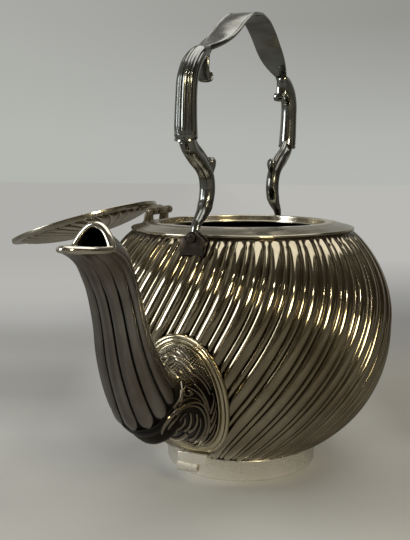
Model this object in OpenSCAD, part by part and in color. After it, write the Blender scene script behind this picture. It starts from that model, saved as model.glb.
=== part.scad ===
// Spirit kettle: swirl fluted bowl on a plain foot ring, lobed swan neck spout,
// side hinged lid shown thrown open, and a strap handle on two shoulder pivots.
// Millimetres. +Z is up and z = 0 is the table. The origin is the middle of the
// foot ring. The spout points along -Y and the lid hinge is on the -X side.

/* [Bowl] */
// Radius of the bowl over its lobes
belly_r = 84; // [70:1:100]
// Height of the widest line
belly_z = 84; // [75:1:95]
// Radius where the bowl meets the collar
neck_r = 61.6; // [55:0.2:68]
// Height where the bowl meets the collar
neck_z = 132.2; // [125:0.1:140]
// Sheet thickness behind the grooves
wall = 1; // [0.8:0.1:2]
// Number of wide lobes, each with a narrow reed beside it
flutes = 44; // [24:1:60]
// Depth of the grooves between the lobes
flute_depth = 2; // [0.8:0.1:2.4]
// How far the lobes turn between the collar and the foot, in degrees
swirl = 49; // [0:1:80]

/* [Foot] */
// Height of the foot ring
foot_h = 12.3; // [8:0.1:20]
// Radius of the foot ring under the bowl
foot_top_r = 45; // [38:0.5:52]
// Radius of the foot ring on the table
foot_rest_r = 42.5; // [36:0.5:52]
// Thickness of the foot ring
foot_t = 1.5; // [1:0.1:3]

/* [Neck] */
// Width of the sloping collar, from the bowl's edge in to the flat rim
collar_w = 10.2; // [6:0.1:14]
// Height of the rim above the bowl's edge
collar_h = 4.1; // [2:0.1:8]
// Width of the flat rim, from the collar in to the lid's recess
rim_w = 5; // [3:0.1:8]
// Depth of that recess
recess_d = 3.1; // [2:0.1:5]
// Width of the ledge that the lid sits on
ledge_w = 3.4; // [2:0.1:6]

/* [Lid] */
// Gap between the lid's edge and the wall of the recess
lid_side_gap = 0.6; // [0.3:0.1:2]
// Thickness of the lid's plain flange
lid_flange_t = 2.4; // [1.5:0.1:4]
// Rise of the ribbed dome above the flange
lid_rise = 6.6; // [3:0.1:14]
// Number of ribs on the dome
lid_ribs = 32; // [16:1:48]
// Angle between the shut lid and the lid as drawn, in degrees
lid_open = 197; // [0:1:197]
// Gap between the shut lid and the ledge under it
lid_gap = 0.4; // [0.2:0.1:1]

/* [Lid hinge] */
// Distance of the hinge pin outside the flat rim
hinge_out = 0.6; // [0:0.1:3]
// Height of the hinge pin above the rim
hinge_up = 4.7; // [4:0.1:8]
// Outer radius of the knuckles
knuckle_r = 2.3; // [1.8:0.1:3]
// Radius of the hinge pin
hinge_pin_r = 0.9; // [0.6:0.1:1.2]
// Length of the whole row of knuckles
hinge_l = 26; // [16:1:34]

/* [Spout] */
// Number of lobes round the spout
spout_lobes = 12; // [8:1:16]
// Depth of the grooves between the spout's lobes
spout_groove = 1.3; // [0.4:0.1:2]
// Wall of the spout behind its grooves
spout_wall = 1.2; // [0.8:0.1:2]
// Radius of the round hole from the bowl into the spout
passage_r = 12; // [6:0.5:14]
// Half width of the thick rounded lip
lip_r = 1.4; // [1:0.1:2]

/* [Escutcheon] */
// Height of its middle above the table
shield_z = 55.5; // [48:0.5:60]
// Half width of the ring moulding, on its middle line
shield_rx = 20.2; // [19:0.2:28]
// Half height of the ring moulding, on its middle line
shield_rz = 30.4; // [28:0.2:36]
// Half width of the moulding itself
moulding_w = 2.7; // [1.5:0.1:4]
// Height of the moulding above the bowl
moulding_h = 2.8; // [1.5:0.1:4]
// Height that the chased plate climbs round the spout's root
shield_rise = 7; // [1:0.5:9]

/* [Stand lugs] */
// Radius of the hole for the stand's pin
stand_bore_r = 1.4; // [1:0.1:2]
// Outer radius of the tube round that hole
stand_tube_r = 2.4; // [2:0.1:3.5]
// Length of that tube
stand_tube_l = 11; // [8:0.2:18]
// Distance of the hole outside the foot ring's upper edge
stand_tube_out = 19.5; // [17:0.5:24]
// Height of the hole
stand_tube_z = 14.8; // [8:0.1:16]
// Width of the bracket that carries the tube
stand_lug_w = 16; // [10:0.5:24]
// Thickness of that bracket's sheet
stand_lug_t = 1.8; // [1:0.1:3]
// How far the tube and the bracket lie to the side of the spout
stand_side = 1.8; // [0:0.1:4]

/* [Handle] */
// Distance of the middle of each pivot eye outside the bowl's upper edge
pivot_out = 4.2; // [3.9:0.1:7]
// Gap between each eye and the bowl under it
pivot_gap = 0.5; // [0.3:0.02:4]
// Radius of the pivot pins
pivot_pin_r = 1.3; // [0.8:0.1:1.6]
// Outer radius of the eyes
eye_r = 2.4; // [2.2:0.1:3]
// Thickness of the eyes
eye_t = 2.6; // [2:0.1:3]
// Thickness of each cheek beside an eye
cheek_t = 1.8; // [1.5:0.1:3]
// Half width of each lug
wing_x = 6.3; // [5:0.1:9]
// Lean of the handle as drawn, in degrees
handle_lean = 1.9; // [0:0.1:5]
// Half width of the strap in the middle
strap_w = 7.8; // [6:0.1:12]
// Half width of the strap at its ends
strap_end_w = 3.4; // [2.5:0.1:5]
// Thickness of the strap
strap_t = 2.4; // [1.5:0.1:4]

/* [Hidden] */
// Running clearance between a pin and what turns on it
running = 0.05;
// Clearance between a knuckle or an eye and its neighbours
side_gap = 0.3;
// Rises of the two halves of the bowl's profile, set so that it meets neck and foot
shoulder_h = (neck_z - belly_z) / sqrt(1 - pow(neck_r / belly_r, 2));
base_e = 2.3;
base_h = (belly_z - foot_h) / pow(1 - pow(foot_top_r / belly_r, 2), 1 / base_e);
swirl_e = 1.5;
bowl_rows = 12;
inner_rows = 8;
rim_z = neck_z + collar_h;
rim_r = neck_r - collar_w;
recess_r = rim_r - rim_w;
opening_r = recess_r - ledge_w;
ledge_z = rim_z - recess_d;
lid_r = recess_r - lid_side_gap;
hinge_x = rim_r + hinge_out;
hinge_z = rim_z + hinge_up;
pivot_y = neck_r + pivot_out;
pivot_z = belly_z + shoulder_h * sqrt(1 - pow((pivot_y - eye_t / 2) / belly_r, 2)) + eye_r + pivot_gap;
stand_tube_y = foot_top_r + stand_tube_out;
shield_foot = shield_z - shield_rz - moulding_w;
// Top of the bracket's arm, which lies close under the moulding, and how far the plate stands above it
arm_z = shield_foot - 0.4 * moulding_h - 0.3;
plate_lip = 1.4;
lid_z = ledge_z + lid_gap;
lid_top = lid_z + lid_flange_t;
dome_r = lid_r - 4.4;
// Stations of the spout: distance outside the bowl's widest line, height, half width
// across, half width in the middle plane
spout_path = [for (p = [
    [-4, 53, 15.2, 20], [9, 53.9, 15.2, 18.8], [22, 58, 15.8, 18], [32.5, 65, 15.2, 16.2],
    [40.4, 74, 14.2, 14.6], [46.9, 84, 13.1, 13.1], [51.6, 94, 12, 12], [54.8, 104, 10.9, 10.9],
    [57.8, 113, 10.5, 10.3], [61.3, 121.5, 10.2, 10], [65.2, 128.3, 10.2, 10]]) [-belly_r - p[0], p[1], p[2], p[3]]];
// Mouth of the spout: places and heights of its lip, its two lower corners and its arched back
mouth_lip = [-belly_r - 93.5, 136.9];
mouth_side = [-belly_r - 74.2, 135.3];
mouth_back = [-belly_r - 70, 144];
mouth_w = 9.4;
// Middle lines of one half of the handle, from the pivot: outward, up, half width across,
// and for flat bars the half width in the handle's own plane
leg_path = from_pivot([[0, 1, 1.9, 1.2], [-0.3, 3.7, 2.1, 1.25], [-2.4, 6.7, 2.6, 1.7], [-5.8, 9.2, 3.1, 2.3],
    [-9.4, 12, 3.5, 2.9], [-12.2, 15.4, 3.8, 3.4], [-13.9, 19.8, 4, 3.7], [-14.1, 24.9, 4, 3.7], [-11.6, 30.6, 4, 3.7],
    [-4.4, 35.8, 3.9, 3.7], [3.8, 39.8, 3.9, 3.7], [9.2, 43.3, 3.9, 3.7], [12, 46.9, 3.9, 3.7]]);
sheath_path = from_pivot([[12, 46.9, 5.2], [13.2, 51.2, 5.4], [13.6, 58.7, 5.2], [13.6, 66.7, 5], [12.7, 74, 5],
    [8.8, 80.8, 4.8], [1.8, 86.2, 4.2], [-5.6, 88.8, 3.4]]);
strap_path = [[pivot_y - 5.8, pivot_z + 88.95], [pivot_y - 15.2, pivot_z + 92.6], [pivot_y - 24.8, pivot_z + 97.2],
    [32, pivot_z + 102.6], [23, pivot_z + 108.2], [12, pivot_z + 113.2], [0, pivot_z + 115.1]];
volute_path = from_pivot([[-5.6, 86.6, 3, 1.2], [-4.6, 83.2, 3.3, 1.4], [-4.4, 79.4, 3.3, 1.4], [-5.8, 76.2, 3.2, 1.8],
    [-7.6, 74.8, 3, 1.6]]);
bud_path = from_pivot([[-13.2, 21.5, 2.2], [-15.2, 26, 2.2], [-16.5, 31, 2.1], [-17, 34.6, 2.7], [-17.1, 37.2, 2.5],
    [-17, 38.8, 1.2]]);
round_n = 96;

silver = [0.62, 0.59, 0.53];
satin = [0.78, 0.76, 0.71];
dark_silver = [0.40, 0.41, 0.41];
tarnish = [0.30, 0.29, 0.27];

function from_pivot(path) = [for (p = path) [pivot_y + p[0], pivot_z + p[1], p[2], len(p) > 3 ? p[3] : p[2]]];

// Radius of the bowl over its lobes at height z
function bowl_r(z) = z > belly_z
    ? belly_r * sqrt(max(0, 1 - pow((z - belly_z) / shoulder_h, 2)))
    : belly_r * sqrt(max(0, 1 - pow((belly_z - z) / base_h, base_e)));

// Turn of the lobes at height z, in degrees
function turn(z) = -swirl * pow(max(0, neck_z - z) / (neck_z - foot_h), swirl_e);

// Depth of the grooves at height z: they run out in round ends under the collar
function groove(z) = flute_depth * min(1, 0.25 + (neck_z - z) / 7);

// One pitch of the bowl's outline: [share of the pitch, share of the groove depth]
pitch_outline = [[0, 1], [0.17, 0.134], [0.34, 0], [0.51, 0.134], [0.68, 1], [0.84, 0.4]];

function bowl_ring(z) = [for (k = [0:flutes - 1], p = pitch_outline)
    let (a = (k + p[0]) * 360 / flutes + turn(z), r = bowl_r(z) - groove(z) * p[1])
    [r * cos(a), r * sin(a), z]];

// Point on the bowl's spout side at (x, z), lifted h along the surface's own normal
function on_bowl(x, z, h) =
    let (r = bowl_r(z), y = sqrt(r * r - x * x), s = bowl_r(z + 0.5) - bowl_r(z - 0.5), n = sqrt(1 + s * s))
    [x + h * x / r / n, -y - h * y / r / n, z - h * s / n];

// Smooth curve through a list of points, with n steps between neighbours
function curve_point(a, b, c, d, t) =
    0.5 * (2 * b + (c - a) * t + (2 * a - 5 * b + 4 * c - d) * t * t + (3 * b - a - 3 * c + d) * t * t * t);
function smooth(p, n) = concat([for (i = [0:len(p) - 2], k = [0:n - 1])
    curve_point(p[max(0, i - 1)], p[i], p[i + 1], p[min(len(p) - 1, i + 2)], k / n)], [p[len(p) - 1]]);

// Heading of a path in the YZ plane at point i, in degrees from +Y
function heading(p, i) = let (a = p[max(0, i - 1)], b = p[min(len(p) - 1, i + 1)]) atan2(b[1] - a[1], b[0] - a[0]);

// Section points [across, in plane] set square to a path in the YZ plane
function set_ring(p, ang, sec) = [for (q = sec) [q[0], p[0] - q[1] * sin(ang), p[1] + q[1] * cos(ang)]];

// Closed skin over rings that all have the same number of points
module skin(rings, joined = false) {
    n = len(rings[0]);
    m = len(rings);
    sides = [for (i = [0:m - (joined ? 1 : 2)], k = [0:n - 1])
        let (j = (i + 1) % m, l = (k + 1) % n)
        each [[i * n + k, j * n + k, i * n + l], [i * n + l, j * n + k, j * n + l]]];
    ends = joined ? [] : [[for (k = [0:n - 1]) k], [for (k = [n - 1:-1:0]) (m - 1) * n + k]];
    polyhedron(points = [for (r = rings) each r], faces = concat(sides, ends));
}

module front_and_rear(rear) {
    if (rear) mirror([0, 1, 0]) children(); else children();
}

module leaning() {
    translate([0, 0, pivot_z]) rotate([0, handle_lean, 0]) translate([0, 0, -pivot_z]) children();
}

module lid_pose() {
    translate([-hinge_x, 0, hinge_z]) rotate([0, -lid_open, 0]) translate([hinge_x, 0, -hinge_z]) children();
}

module along_x(r, l) { rotate([0, 90, 0]) cylinder(r = r, h = l, center = true, $fn = 48); }
module along_y(r, y0, y1) { translate([0, y0, 0]) rotate([-90, 0, 0]) cylinder(r = r, h = y1 - y0, $fn = 48); }

// The bowl, collar and rim as one plain solid, to cut what is soldered against them
module kettle_outside() {
    rotate_extrude($fn = round_n) polygon(concat([[0, foot_h]],
        [for (k = [0:24]) let (z = foot_h + (neck_z - foot_h) * k / 24) [bowl_r(z), z]],
        [[neck_r + 0.7, neck_z], [neck_r + 0.9, neck_z + 0.6], [neck_r + 0.5, neck_z + 1.2],
            [neck_r - 0.4, neck_z + 1.3], [rim_r, rim_z - 0.2], [rim_r, rim_z], [0, rim_z]]));
}

// Bowl: one fluted sheet with a flat floor, open at the neck, with one hole to the spout
module bowl() {
    n = 6 * flutes;
    m = 2 * flutes;
    outer_z = [for (i = [0:bowl_rows]) let (u = 1 - i / bowl_rows)
        foot_h + (neck_z - foot_h) * (0.55 * u + 0.45 * (1 - cos(180 * u)) / 2)];
    inner_z = [for (i = [0:inner_rows]) neck_z + (foot_h + wall - neck_z) * sin(90 * i / inner_rows)
        * (0.6 + 0.4 * sin(90 * i / inner_rows))];
    outer = [for (z = outer_z) each bowl_ring(z)];
    base = [for (k = [0:n - 1]) let (a = k * 360 / n + turn(foot_h), r = foot_top_r - 4) [r * cos(a), r * sin(a), foot_h]];
    inner = [for (z = inner_z, k = [0:m - 1]) let (a = k * 360 / m, r = bowl_r(z) - flute_depth - wall) [r * cos(a), r * sin(a), z]];
    c = n * (bowl_rows + 2);
    walls = function(start, count, rows) [for (i = [0:rows - 1], k = [0:count - 1])
        let (a = start + i * count, b = a + count, l = (k + 1) % count)
        each [[a + k, a + l, b + k], [a + l, b + l, b + k]]];
    turned = function(list) [for (f = list) [f[2], f[1], f[0]]];
    edge = [for (k = [0:m - 1]) let (l = (k + 1) % m) each [
        [c + k, 3 * k + 1, 3 * k], [c + k, 3 * k + 2, 3 * k + 1], [c + k, (3 * k + 3) % n, 3 * k + 2],
        [c + k, c + l, (3 * k + 3) % n]]];
    color(silver) difference() {
        polyhedron(points = concat(outer, base, inner), faces = concat(walls(0, n, bowl_rows + 1),
            turned(walls(c, m, inner_rows)), edge,
            [[for (k = [0:n - 1]) c - n + k]],
            [[for (k = [m - 1:-1:0]) c + inner_rows * m + k]]));
        translate([0, 0, spout_path[0][1]]) along_y(passage_r, -belly_r - 5, -foot_top_r);
    }
}

// Collar: plain sloping band with a raised lower edge
module neck_collar() {
    color(satin) rotate_extrude($fn = round_n) polygon([
        [neck_r - 2.4, neck_z], [neck_r + 0.7, neck_z], [neck_r + 0.9, neck_z + 0.6], [neck_r + 0.5, neck_z + 1.2],
        [neck_r - 0.4, neck_z + 1.3], [rim_r, rim_z - 0.2], [rim_r, rim_z - 1.5]]);
}

// Rim: flat ring with the recess and ledge that take the lid
module rim_ring() {
    color(satin) rotate_extrude($fn = round_n) polygon([
        [opening_r, ledge_z - 1.2], [rim_r, ledge_z - 1.2], [rim_r, rim_z - 0.3], [rim_r - 0.4, rim_z],
        [recess_r + 0.3, rim_z], [recess_r, rim_z - 0.3], [recess_r, ledge_z], [opening_r, ledge_z]]);
}

// Foot ring: its lowest 2 mm is a true cylinder, which drops into a stand's ring
module foot_ring() {
    color(satin) rotate_extrude($fn = round_n) polygon([
        [foot_rest_r - foot_t, 0], [foot_rest_r, 0], [foot_rest_r, 2], [foot_top_r, foot_h],
        [foot_top_r - foot_t, foot_h], [foot_rest_r - foot_t, 2]]);
}

// Outline of the spout at one station: inset from the lobes' tops, then the groove depth
function lobed(a, b, inset, depth) = [for (k = [0:spout_lobes - 1], s = [-1, -0.5, 0, 0.5])
    let (t = (k + s / 2) * 360 / spout_lobes, d = inset + depth * (1 - sqrt(1 - s * s)))
    [(a - d) * cos(t), (b - d) * sin(t)]];

function root_ring(inset, depth) = [for (q = lobed(spout_path[0][2], spout_path[0][3], inset, depth))
    on_bowl(q[0], spout_path[0][1] + q[1], 0.05)];

// The mouth: a lip that runs out in front, two low corners and a steep arch behind them
function mouth_ring(inset) = [for (q = lobed(1, 1, 0, 0))
    let (u = abs(q[1]), front = q[1] < 0, end = front ? mouth_lip : mouth_back)
    [(mouth_w - inset) * q[0] * (front ? 1 - 0.1 * u * u : 1),
        mouth_side[0] + (end[0] - mouth_side[0] + (front ? inset : -inset)) * pow(u, front ? 1.3 : 1),
        mouth_side[1] + (end[1] - mouth_side[1]) * pow(u, front ? 2 : 1.7)]];

function spout_rings(inset, depth) =
    let (last = len(spout_path) - 1,
        body = [for (i = [1:last]) let (p = spout_path[i])
            set_ring(p, heading(spout_path, i), [for (q = lobed(p[2], p[3], inset, depth)) [q[0], -q[1]]])],
        mouth = mouth_ring(inset),
        flare = [for (f = [0.4, 0.75]) [for (k = [0:len(mouth) - 1])
            let (a = body[last - 1][k], b = mouth[k], g = pow(f, 1.8))
            [a[0] + (b[0] - a[0]) * g, a[1] + (b[1] - a[1]) * g, a[2] + (b[2] - a[2]) * f]]])
    concat([root_ring(inset, depth)], body, flare, [mouth]);

module spout() {
    outer = spout_rings(0, spout_groove);
    inner = spout_rings(spout_groove + spout_wall, 0);
    m = len(inner);
    color(dark_silver) skin(concat(outer, [for (i = [m - 1:-1:0]) inner[i]]), joined = true);
}

// Round wire laid along the mouth
module spout_lip() {
    ring = mouth_ring(1.2);
    n = len(ring);
    out = [0, -0.4, 0.9165];
    color(silver) skin([for (k = [0:n - 1])
        let (p = ring[k] + (lip_r + 0.05) * out, a = ring[(k + n - 1) % n], b = ring[(k + 1) % n],
            d = (b - a) / norm(b - a), u = cross(d, out) / norm(cross(d, out)), v = cross(u, d))
        [for (j = [0:7]) p + lip_r * (u * cos(45 * j) - v * sin(45 * j))]], joined = true);
}

// Oval in the escutcheon's plane laid on the bowl: list of [offset, lift] sections
module laid_oval(sections, n) {
    skin([for (s = sections) [for (k = [0:n - 1]) let (t = -k * 360 / n)
        on_bowl((s[1] + s[0]) * cos(t), s[3] + (s[2] + s[0]) * sin(t), s[4])]], joined = true);
}

// Chased plate between the spout's root and the moulding, climbing round the spout
module escutcheon_plate() {
    root = spout_path[0];
    edge = -moulding_w - 0.2;
    color(tarnish) laid_oval([
        [0.4, root[2], root[3], root[1], 0.05], [0.4, root[2], root[3], root[1], shield_rise],
        [edge * 0.5, (root[2] + shield_rx) / 2, (root[3] + shield_rz) / 2, (root[1] + shield_z) / 2, 0.45 * shield_rise],
        [edge, shield_rx, shield_rz, shield_z, 1.2], [edge, shield_rx, shield_rz, shield_z, 0.05]], 48);
}

module escutcheon_moulding() {
    color(satin) laid_oval([for (q = [[-1, 0.02], [-1, 0.45], [-0.55, 0.9], [0, 1], [0.55, 0.9], [1, 0.45], [1, 0.02]])
        [q[0] * moulding_w, shield_rx, shield_rz, shield_z, q[1] * moulding_h]], 56);
}

// Bent bracket: an arm under the moulding and a plate in front of it, which carries the tube
module stand_lug(rear) {
    color(satin) front_and_rear(rear) difference() {
        translate([-stand_lug_w / 2 - stand_side, 0, 0]) union() {
            translate([0, -stand_tube_y - stand_lug_t / 2, stand_tube_z]) cube([stand_lug_w, stand_lug_t, arm_z + plate_lip - stand_tube_z]);
            translate([0, -stand_tube_y, arm_z - stand_lug_t]) cube([stand_lug_w, stand_tube_y - foot_top_r, stand_lug_t]);
        }
        kettle_outside();
        translate([0, -stand_tube_y, stand_tube_z]) along_x(stand_tube_r, 3 * stand_lug_w);
    }
}

// Tube at one end of the bracket, so that the stand's own tube fits beside it
module stand_tube(rear) {
    color(satin) front_and_rear(rear) translate([-stand_side - (stand_lug_w - stand_tube_l) / 2, -stand_tube_y, stand_tube_z])
        difference() {
            along_x(stand_tube_r, stand_tube_l);
            along_x(stand_bore_r, stand_tube_l + 2);
        }
}

// Fixed knuckle of the lid hinge, curled up from the collar
module hinge_lug(rear) {
    k = hinge_l / 2;
    inner = hinge_l / 4 + side_gap / 2;
    color(satin) front_and_rear(rear) difference() {
        union() {
            translate([-hinge_x, 0, hinge_z]) along_y(knuckle_r, -k, -inner);
            translate([0, -inner, 0]) rotate([90, 0, 0]) linear_extrude(k - inner) polygon([
                [-hinge_x - 2.2, hinge_z + 0.4], [-hinge_x - 3.4, hinge_z - 2.4], [-hinge_x - 4, rim_z - 1],
                [-hinge_x - 5.4, rim_z - 2.2], [-hinge_x - 5.4, neck_z], [-hinge_x + 0.4, neck_z],
                [-hinge_x - 0.6, rim_z + 0.6], [-hinge_x - 0.4, hinge_z - 2]]);
        }
        translate([-hinge_x, 0, hinge_z]) along_y(hinge_pin_r, -k - 1, 0);
        kettle_outside();
    }
}

module hinge_pin() {
    color(silver) translate([-hinge_x, 0, hinge_z]) along_y(hinge_pin_r, -hinge_l / 2 - 0.6, hinge_l / 2 + 0.6);
}

// Lug on the shoulder: a block with two rounded cheeks and a slot between them for the eye
module handle_lug(rear) {
    y0 = pivot_y - eye_t / 2 - side_gap - cheek_t;
    y1 = pivot_y + eye_t / 2 + side_gap + cheek_t;
    color(dark_silver) front_and_rear(rear) difference() {
        translate([0, -y0, 0]) rotate([90, 0, 0]) linear_extrude(y1 - y0) polygon(concat(
            [[-wing_x, pivot_z - 10.4], [-wing_x, pivot_z - 1.2], [-wing_x + 1.6, pivot_z + 0.4]],
            [for (t = [150:-20:30]) [3.2 * cos(t), pivot_z + 3.2 * sin(t)]],
            [[wing_x - 1.6, pivot_z + 0.4], [wing_x, pivot_z - 1.2], [wing_x, pivot_z - 10.4]]));
        translate([0, 0, pivot_z]) along_y(eye_r + 0.6, -pivot_y - eye_t / 2 - side_gap, -pivot_y + eye_t / 2 + side_gap);
        translate([-wing_x - 1, -pivot_y - eye_t / 2 - side_gap, pivot_z - 1.9])
            cube([2 * wing_x + 2, eye_t + 2 * side_gap, 10]);
        translate([0, 0, pivot_z]) along_y(pivot_pin_r, -y1 - 8, -y0 + 8);
        kettle_outside();
    }
}

module pivot_pin(rear) {
    y0 = pivot_y - eye_t / 2 - side_gap - cheek_t;
    y1 = pivot_y + eye_t / 2 + side_gap + cheek_t;
    color(silver) front_and_rear(rear) translate([0, 0, pivot_z]) {
        along_y(pivot_pin_r, -y1 - 0.2, -y0 - 0.3);
        along_y(2.1, -y1 - 1.2, -y1);
    }
}

// Lid flange: plain ring that drops into the rim's recess
module lid_flange() {
    color(satin) lid_pose() rotate_extrude($fn = round_n) polygon([
        [lid_r - 8, lid_z], [lid_r, lid_z], [lid_r, lid_top - 0.5], [lid_r - 0.5, lid_top], [lid_r - 8, lid_top]]);
}

function dome_z(r) = lid_top + lid_rise * pow(max(0, 1 - pow(r / dome_r, 2)), 0.75);

// Ribbed dome: ribs turn as they run in to the finial
module lid_dome() {
    n = 3 * lid_ribs;
    tops = [for (u = [0, 0.06, 0.16, 0.3, 0.5, 0.72, 1]) dome_r + (5 - dome_r) * u];
    outer = [for (r = tops) let (lift = min(1, (dome_r - r) / 4) * min(1, (r - 4) / 8)) [for (k = [0:n - 1])
        let (a = k * 360 / n + 40 * (r / dome_r)) [r * cos(a), r * sin(a), dome_z(r) - (k % 3 == 0 ? 1 : 0) * lift]]];
    inner = [for (r = [5, dome_r * 0.45, dome_r * 0.75, dome_r - 2]) [for (k = [0:n - 1])
        let (a = k * 360 / n + 40 * (r / dome_r)) [r * cos(a), r * sin(a),
            r > dome_r - 2.5 ? lid_top : dome_z(r) - 1.9]]];
    color(silver) lid_pose() skin(concat([inner[0]], [inner[1], inner[2], inner[3]], outer));
}

// Leaf soldered to the flange, with the middle knuckle
module lid_leaf() {
    w = hinge_l / 4 - side_gap / 2;
    color(satin) lid_pose() difference() {
        union() {
            translate([-hinge_x, 0, hinge_z]) along_y(knuckle_r, -w, w);
            translate([0, w, 0]) rotate([90, 0, 0]) linear_extrude(2 * w) polygon([
                [-lid_r + 4, lid_top], [-lid_r + 0.8, lid_top], [-lid_r + 0.2, rim_z + 0.5], [-hinge_x + 1.6, rim_z + 1],
                [-hinge_x - 0.4, hinge_z - 2.1], [-hinge_x + 1.8, hinge_z - 0.4], [-hinge_x + 2.6, rim_z + 2.2],
                [-lid_r + 1.4, rim_z + 1.4], [-lid_r + 4, lid_top + 0.6]]);
        }
        translate([-hinge_x, 0, hinge_z]) along_y(hinge_pin_r + running, -w - 1, w + 1);
    }
}

// Turned finial, as the swirl of the lid suggests
module finial() {
    z = dome_z(5);
    color(silver) lid_pose() rotate_extrude($fn = 64) polygon([
        [0, z], [4.6, z], [4.6, z + 0.8], [2.4, z + 1.8], [1.9, z + 3.2], [2.8, z + 3.8], [2.8, z + 4.4],
        [4.6, z + 6], [5.3, z + 8], [4.8, z + 10], [3.2, z + 11.6], [1.6, z + 12.6], [1.3, z + 13.6], [0.6, z + 14.4], [0, z + 14.6]]);
}

// Nut inside the lid, with the end of the finial's screw
module finial_nut() {
    z = dome_z(5) - 1.9;
    color(silver) lid_pose() rotate_extrude($fn = 48) polygon([
        [0, z], [4, z], [4, z - 1.2], [3.4, z - 2], [2.1, z - 2.4], [2, z - 10.4], [1.2, z - 11.6], [0, z - 12]]);
}

// Bar along a half path whose stations are [distance, height, half width across, in plane]
function bar_rings(path, n, count = 0, depth = 0) = [for (i = [0:len(path) - 1])
    let (p = path[i]) set_ring([-p[0], p[1]], heading([for (q = path) [-q[0], q[1]]], i),
        [for (k = [0:n - 1]) let (t = -k * 360 / n, f = 1 - (count > 0 && k % 2 == 1 ? depth : 0)) [p[2] * f * cos(t), p[3] * f * sin(t)]])];

// Leg with the eye that turns on the pivot pin
module leg(rear) {
    color(silver) leaning() front_and_rear(rear) difference() {
        union() {
            skin(bar_rings(smooth(leg_path, 2), 14));
            translate([0, 0, pivot_z]) along_y(eye_r, -pivot_y - eye_t / 2, -pivot_y + eye_t / 2);
        }
        translate([0, 0, pivot_z]) along_y(pivot_pin_r + running, -pivot_y - 8, -pivot_y + 8);
    }
}

// Reeded sleeve round the corner of the handle
module sheath(rear) {
    color(dark_silver) leaning() front_and_rear(rear) skin(bar_rings(smooth(sheath_path, 2), 20, 10, 0.1));
}

module volute(rear) {
    color(dark_silver) leaning() front_and_rear(rear) skin(bar_rings(smooth(volute_path, 2), 12));
}

module bud(rear) {
    color(silver) leaning() front_and_rear(rear) skin(bar_rings(bud_path, 12));
}

// Strap: thin arched grip, widest in the middle, with raised edges and a middle rib
module handle_strap() {
    half = smooth(strap_path, 2);
    n = len(half);
    path = concat([for (i = [0:n - 1]) [-half[i][0], half[i][1]]], [for (i = [n - 2:-1:0]) half[i]]);
    top = [[-1, 0], [-0.96, 0.55], [-0.8, 0.5], [-0.4, 0.75], [0, 1], [0.4, 0.75], [0.8, 0.5], [0.96, 0.55], [1, 0], [0.6, -0.2], [0, -0.1], [-0.6, -0.2]];
    color(silver) leaning() skin([for (i = [0:len(path) - 1])
        let (p = path[i], u = min(1, (1 - abs(p[0]) / strap_path[0][0]) * 2.2), w = strap_end_w + (strap_w - strap_end_w) * sin(90 * u),
            t = strap_t * (1.6 - 0.6 * u))
        set_ring(p, heading(path, i), [for (q = top) [q[0] * w, q[1] * t]])]);
}

bowl();
neck_collar();
rim_ring();
foot_ring();
spout();
spout_lip();
escutcheon_plate();
escutcheon_moulding();
stand_lug(false);  // stand_lug_front
stand_tube(false);  // stand_tube_front
stand_lug(true);  // stand_lug_rear
stand_tube(true);  // stand_tube_rear
hinge_lug(false);  // hinge_lug_front
hinge_lug(true);  // hinge_lug_rear
hinge_pin();
handle_lug(false);  // handle_lug_front
handle_lug(true);  // handle_lug_rear
pivot_pin(false);  // pivot_pin_front
pivot_pin(true);  // pivot_pin_rear
lid_flange();
lid_dome();
lid_leaf();
finial();
finial_nut();
handle_strap();
leg(false);  // leg_front
leg(true);  // leg_rear
sheath(false);  // sheath_front
sheath(true);  // sheath_rear
volute(false);  // volute_front
volute(true);  // volute_rear
bud(false);  // bud_front
bud(true);  // bud_rear
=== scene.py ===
import math
import bmesh
import bpy
import numpy as np
from mathutils import Matrix, Vector


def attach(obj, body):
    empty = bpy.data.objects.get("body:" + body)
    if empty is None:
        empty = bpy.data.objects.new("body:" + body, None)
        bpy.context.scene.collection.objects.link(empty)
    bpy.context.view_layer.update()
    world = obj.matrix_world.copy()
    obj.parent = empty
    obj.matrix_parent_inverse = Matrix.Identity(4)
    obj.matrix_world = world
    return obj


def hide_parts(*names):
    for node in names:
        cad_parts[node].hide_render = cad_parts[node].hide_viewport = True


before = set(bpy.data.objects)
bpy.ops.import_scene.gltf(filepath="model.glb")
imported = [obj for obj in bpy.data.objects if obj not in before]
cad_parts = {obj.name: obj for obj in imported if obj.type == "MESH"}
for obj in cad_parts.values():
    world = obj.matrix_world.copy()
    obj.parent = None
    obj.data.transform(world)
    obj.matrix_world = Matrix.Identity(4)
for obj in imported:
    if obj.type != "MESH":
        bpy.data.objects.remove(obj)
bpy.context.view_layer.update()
MM = 0.001

# Sizes, in millimetres, as in the part's source
BELLY_R, BELLY_Z, NECK_R, NECK_Z, WALL = 84.0, 84.0, 61.6, 132.2, 1.0
FLUTES, FLUTE_DEPTH, SWIRL, SWIRL_E = 44, 2.0, 49.0, 1.5
FOOT_H, FOOT_TOP_R, FOOT_REST_R, FOOT_T = 12.3, 45.0, 42.5, 1.5
COLLAR_W, COLLAR_H, RIM_W, RECESS_D, LEDGE_W = 10.2, 4.1, 5.0, 3.1, 3.4
RIM_Z, RIM_R = NECK_Z + COLLAR_H, NECK_R - COLLAR_W
RECESS_R = RIM_R - RIM_W
OPENING_R, LEDGE_Z = RECESS_R - LEDGE_W, RIM_Z - RECESS_D
LID_R, LID_Z = RECESS_R - 0.6, LEDGE_Z + 0.4
LID_TOP, DOME_R, LID_RISE, LID_RIBS, LID_OPEN = LID_Z + 2.4, RECESS_R - 5.0, 6.6, 32, 197.0
HINGE_X, HINGE_Z = RIM_R + 0.6, RIM_Z + 4.7
PIVOT_Y, PIVOT_Z, EYE_T, LEAN = NECK_R + 4.2, 132.31746, 2.6, 1.9
SHIELD_Z, SHIELD_RX, SHIELD_RZ, MOULD_W, MOULD_H = 55.5, 20.2, 30.4, 2.7, 2.8
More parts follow.
